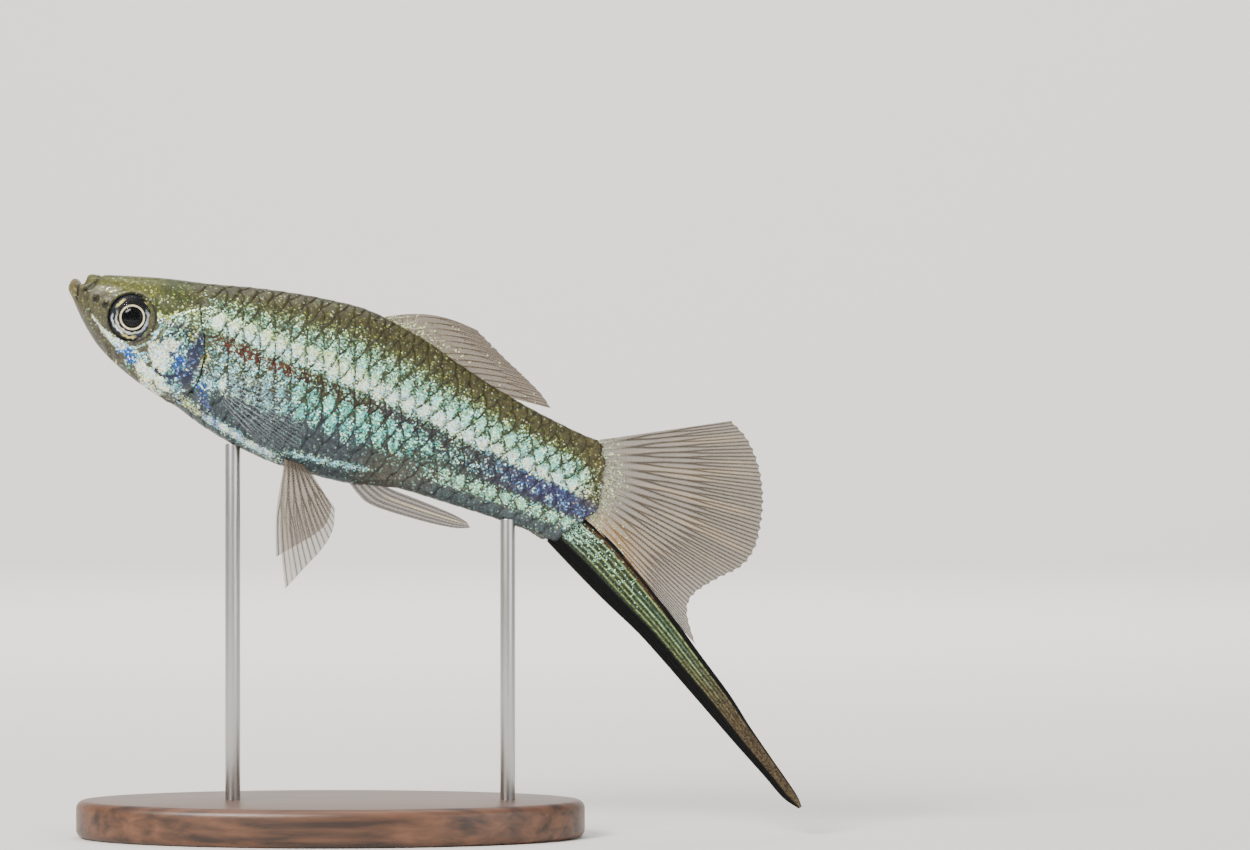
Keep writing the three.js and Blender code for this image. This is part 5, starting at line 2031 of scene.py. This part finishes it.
class SWORDTAIL_OT_stage(bpy.types.Operator):
    """Set the pale floor, the soft lights and the camera"""

    bl_idname = "swordtail.stage"
    bl_label = "Stage"

    def execute(self, context):
        stage = context.scene.swordtail_stage
        self.paper(stage)
        self.lights(context)
        self.camera(context, stage)
        return {"FINISHED"}

    def paper(self, stage):
        """A round floor that curves up into a low wall all round."""
        deselect()
        bpy.ops.mesh.primitive_circle_add(vertices=128, radius=FLOOR, fill_type="NGON")
        bowl = bpy.context.object
        bpy.ops.object.mode_set(mode="EDIT")
        bpy.ops.mesh.select_all(action="SELECT")
        bpy.ops.mesh.select_mode(type="EDGE")
        bpy.ops.mesh.region_to_loop()
        reach, height, steps = FLOOR, 0.0, 10
        for step in range(1, steps + 1):
            turn = math.pi / 2 * step / steps
            new_reach, new_height = FLOOR + BEND * math.sin(turn), BEND * (1 - math.cos(turn))
            self.extrude_up(new_height - height)
            grow = new_reach / reach
            bpy.ops.transform.resize(value=(grow, grow, 1))
            reach, height = new_reach, new_height
        self.extrude_up(WALL)
        bpy.ops.mesh.select_mode(type="VERT")
        bpy.ops.object.mode_set(mode="OBJECT")
        smooth(bowl)
        bowl.name = "paper_floor"
        bowl.data.materials.append(studio_paper(stage.paper))

    def extrude_up(self, height):
        """Draws the selected rim up by a height, in metres."""
        bpy.ops.mesh.extrude_edges_move(TRANSFORM_OT_translate={"value": (0, 0, height)})

    def lights(self, context):
        """Soft round lights on the model, one on the wall behind it, and pale air."""
        for name, (place, goal, size, watts, colour) in LIGHTS.items():
            lamp = bpy.data.lights.new(name, "AREA")
            lamp.shape, lamp.size, lamp.energy, lamp.color = "DISK", size, watts, colour
            holder = bpy.data.objects.new(name, lamp)
            holder.location = place
            toward = Vector(goal) - Vector(place)
            holder.rotation_euler = toward.to_track_quat("-Z", "Y").to_euler()
            context.scene.collection.objects.link(holder)
        world = bpy.data.worlds.new("studio_air")
        world.use_nodes = True
        for key, value in AIR.items():
            world.node_tree.nodes["Background"].inputs[key].default_value = value
        context.scene.world = world

    def camera(self, context, stage):
        """A camera level with the photo's middle, far enough back to hold the photo's frame."""
        scale = PHOTO["mm_per_pixel"]
        x = NOSE_X + (PHOTO["width"] / 2 - PHOTO["nose"][0]) * scale
        z = NOSE_Z - (PHOTO["height"] / 2 - PHOTO["nose"][1]) * scale
        camera = bpy.data.objects.new("photo_camera", bpy.data.cameras.new("photo_camera"))
        context.scene.collection.objects.link(camera)
        camera.data.lens = stage.lens
        distance = PHOTO["width"] * scale * stage.lens / camera.data.sensor_width
        camera.data.clip_start = 0.01
        camera.location = Vector((x, -distance, z)) * MM
        camera.rotation_euler = (math.radians(90), 0, 0)
        context.scene.camera = camera


# Panel and main.


OPERATORS = (
    SWORDTAIL_OT_skin, SWORDTAIL_OT_scales, SWORDTAIL_OT_gill_covers, SWORDTAIL_OT_eyes,
    SWORDTAIL_OT_dorsal_fin, SWORDTAIL_OT_tail_fan, SWORDTAIL_OT_sword, SWORDTAIL_OT_gonopodium,
    SWORDTAIL_OT_paired_fins, SWORDTAIL_OT_stand, SWORDTAIL_OT_stage,
)
GROUPS = {
    "swordtail_body": BodySettings, "swordtail_fins": FinSettings, "swordtail_eyes": EyeSettings,
    "swordtail_stand": StandSettings, "swordtail_stage": StageSettings,
}


class SWORDTAIL_PT_panel(bpy.types.Panel):
    """Lists the model's sizes and the steps that build it"""

    bl_idname = "SWORDTAIL_PT_panel"
    bl_label = "Swordtail"
    bl_space_type = "VIEW_3D"
    bl_region_type = "UI"
    bl_category = "Swordtail"

    def draw(self, context):
        for name, group in GROUPS.items():
            box = self.layout.box()
            for key in group.__annotations__:
                box.prop(getattr(context.scene, name), key)
        for operator in OPERATORS:
            self.layout.operator(operator.bl_idname)


def register():
    for cls in (*GROUPS.values(), *OPERATORS, SWORDTAIL_PT_panel):
        bpy.utils.register_class(cls)
    for name, group in GROUPS.items():
        setattr(bpy.types.Scene, name, bpy.props.PointerProperty(type=group))


def unregister():
    for name in GROUPS:
        delattr(bpy.types.Scene, name)
    for cls in (SWORDTAIL_PT_panel, *reversed(OPERATORS), *reversed(GROUPS.values())):
        bpy.utils.unregister_class(cls)


def main():
    register()
    for operator in OPERATORS:
        group, name = operator.bl_idname.split(".")
        if getattr(getattr(bpy.ops, group), name)() != {"FINISHED"}:
            raise RuntimeError(f"{operator.bl_label}: not finished")


if __name__ == "__main__":
    main()
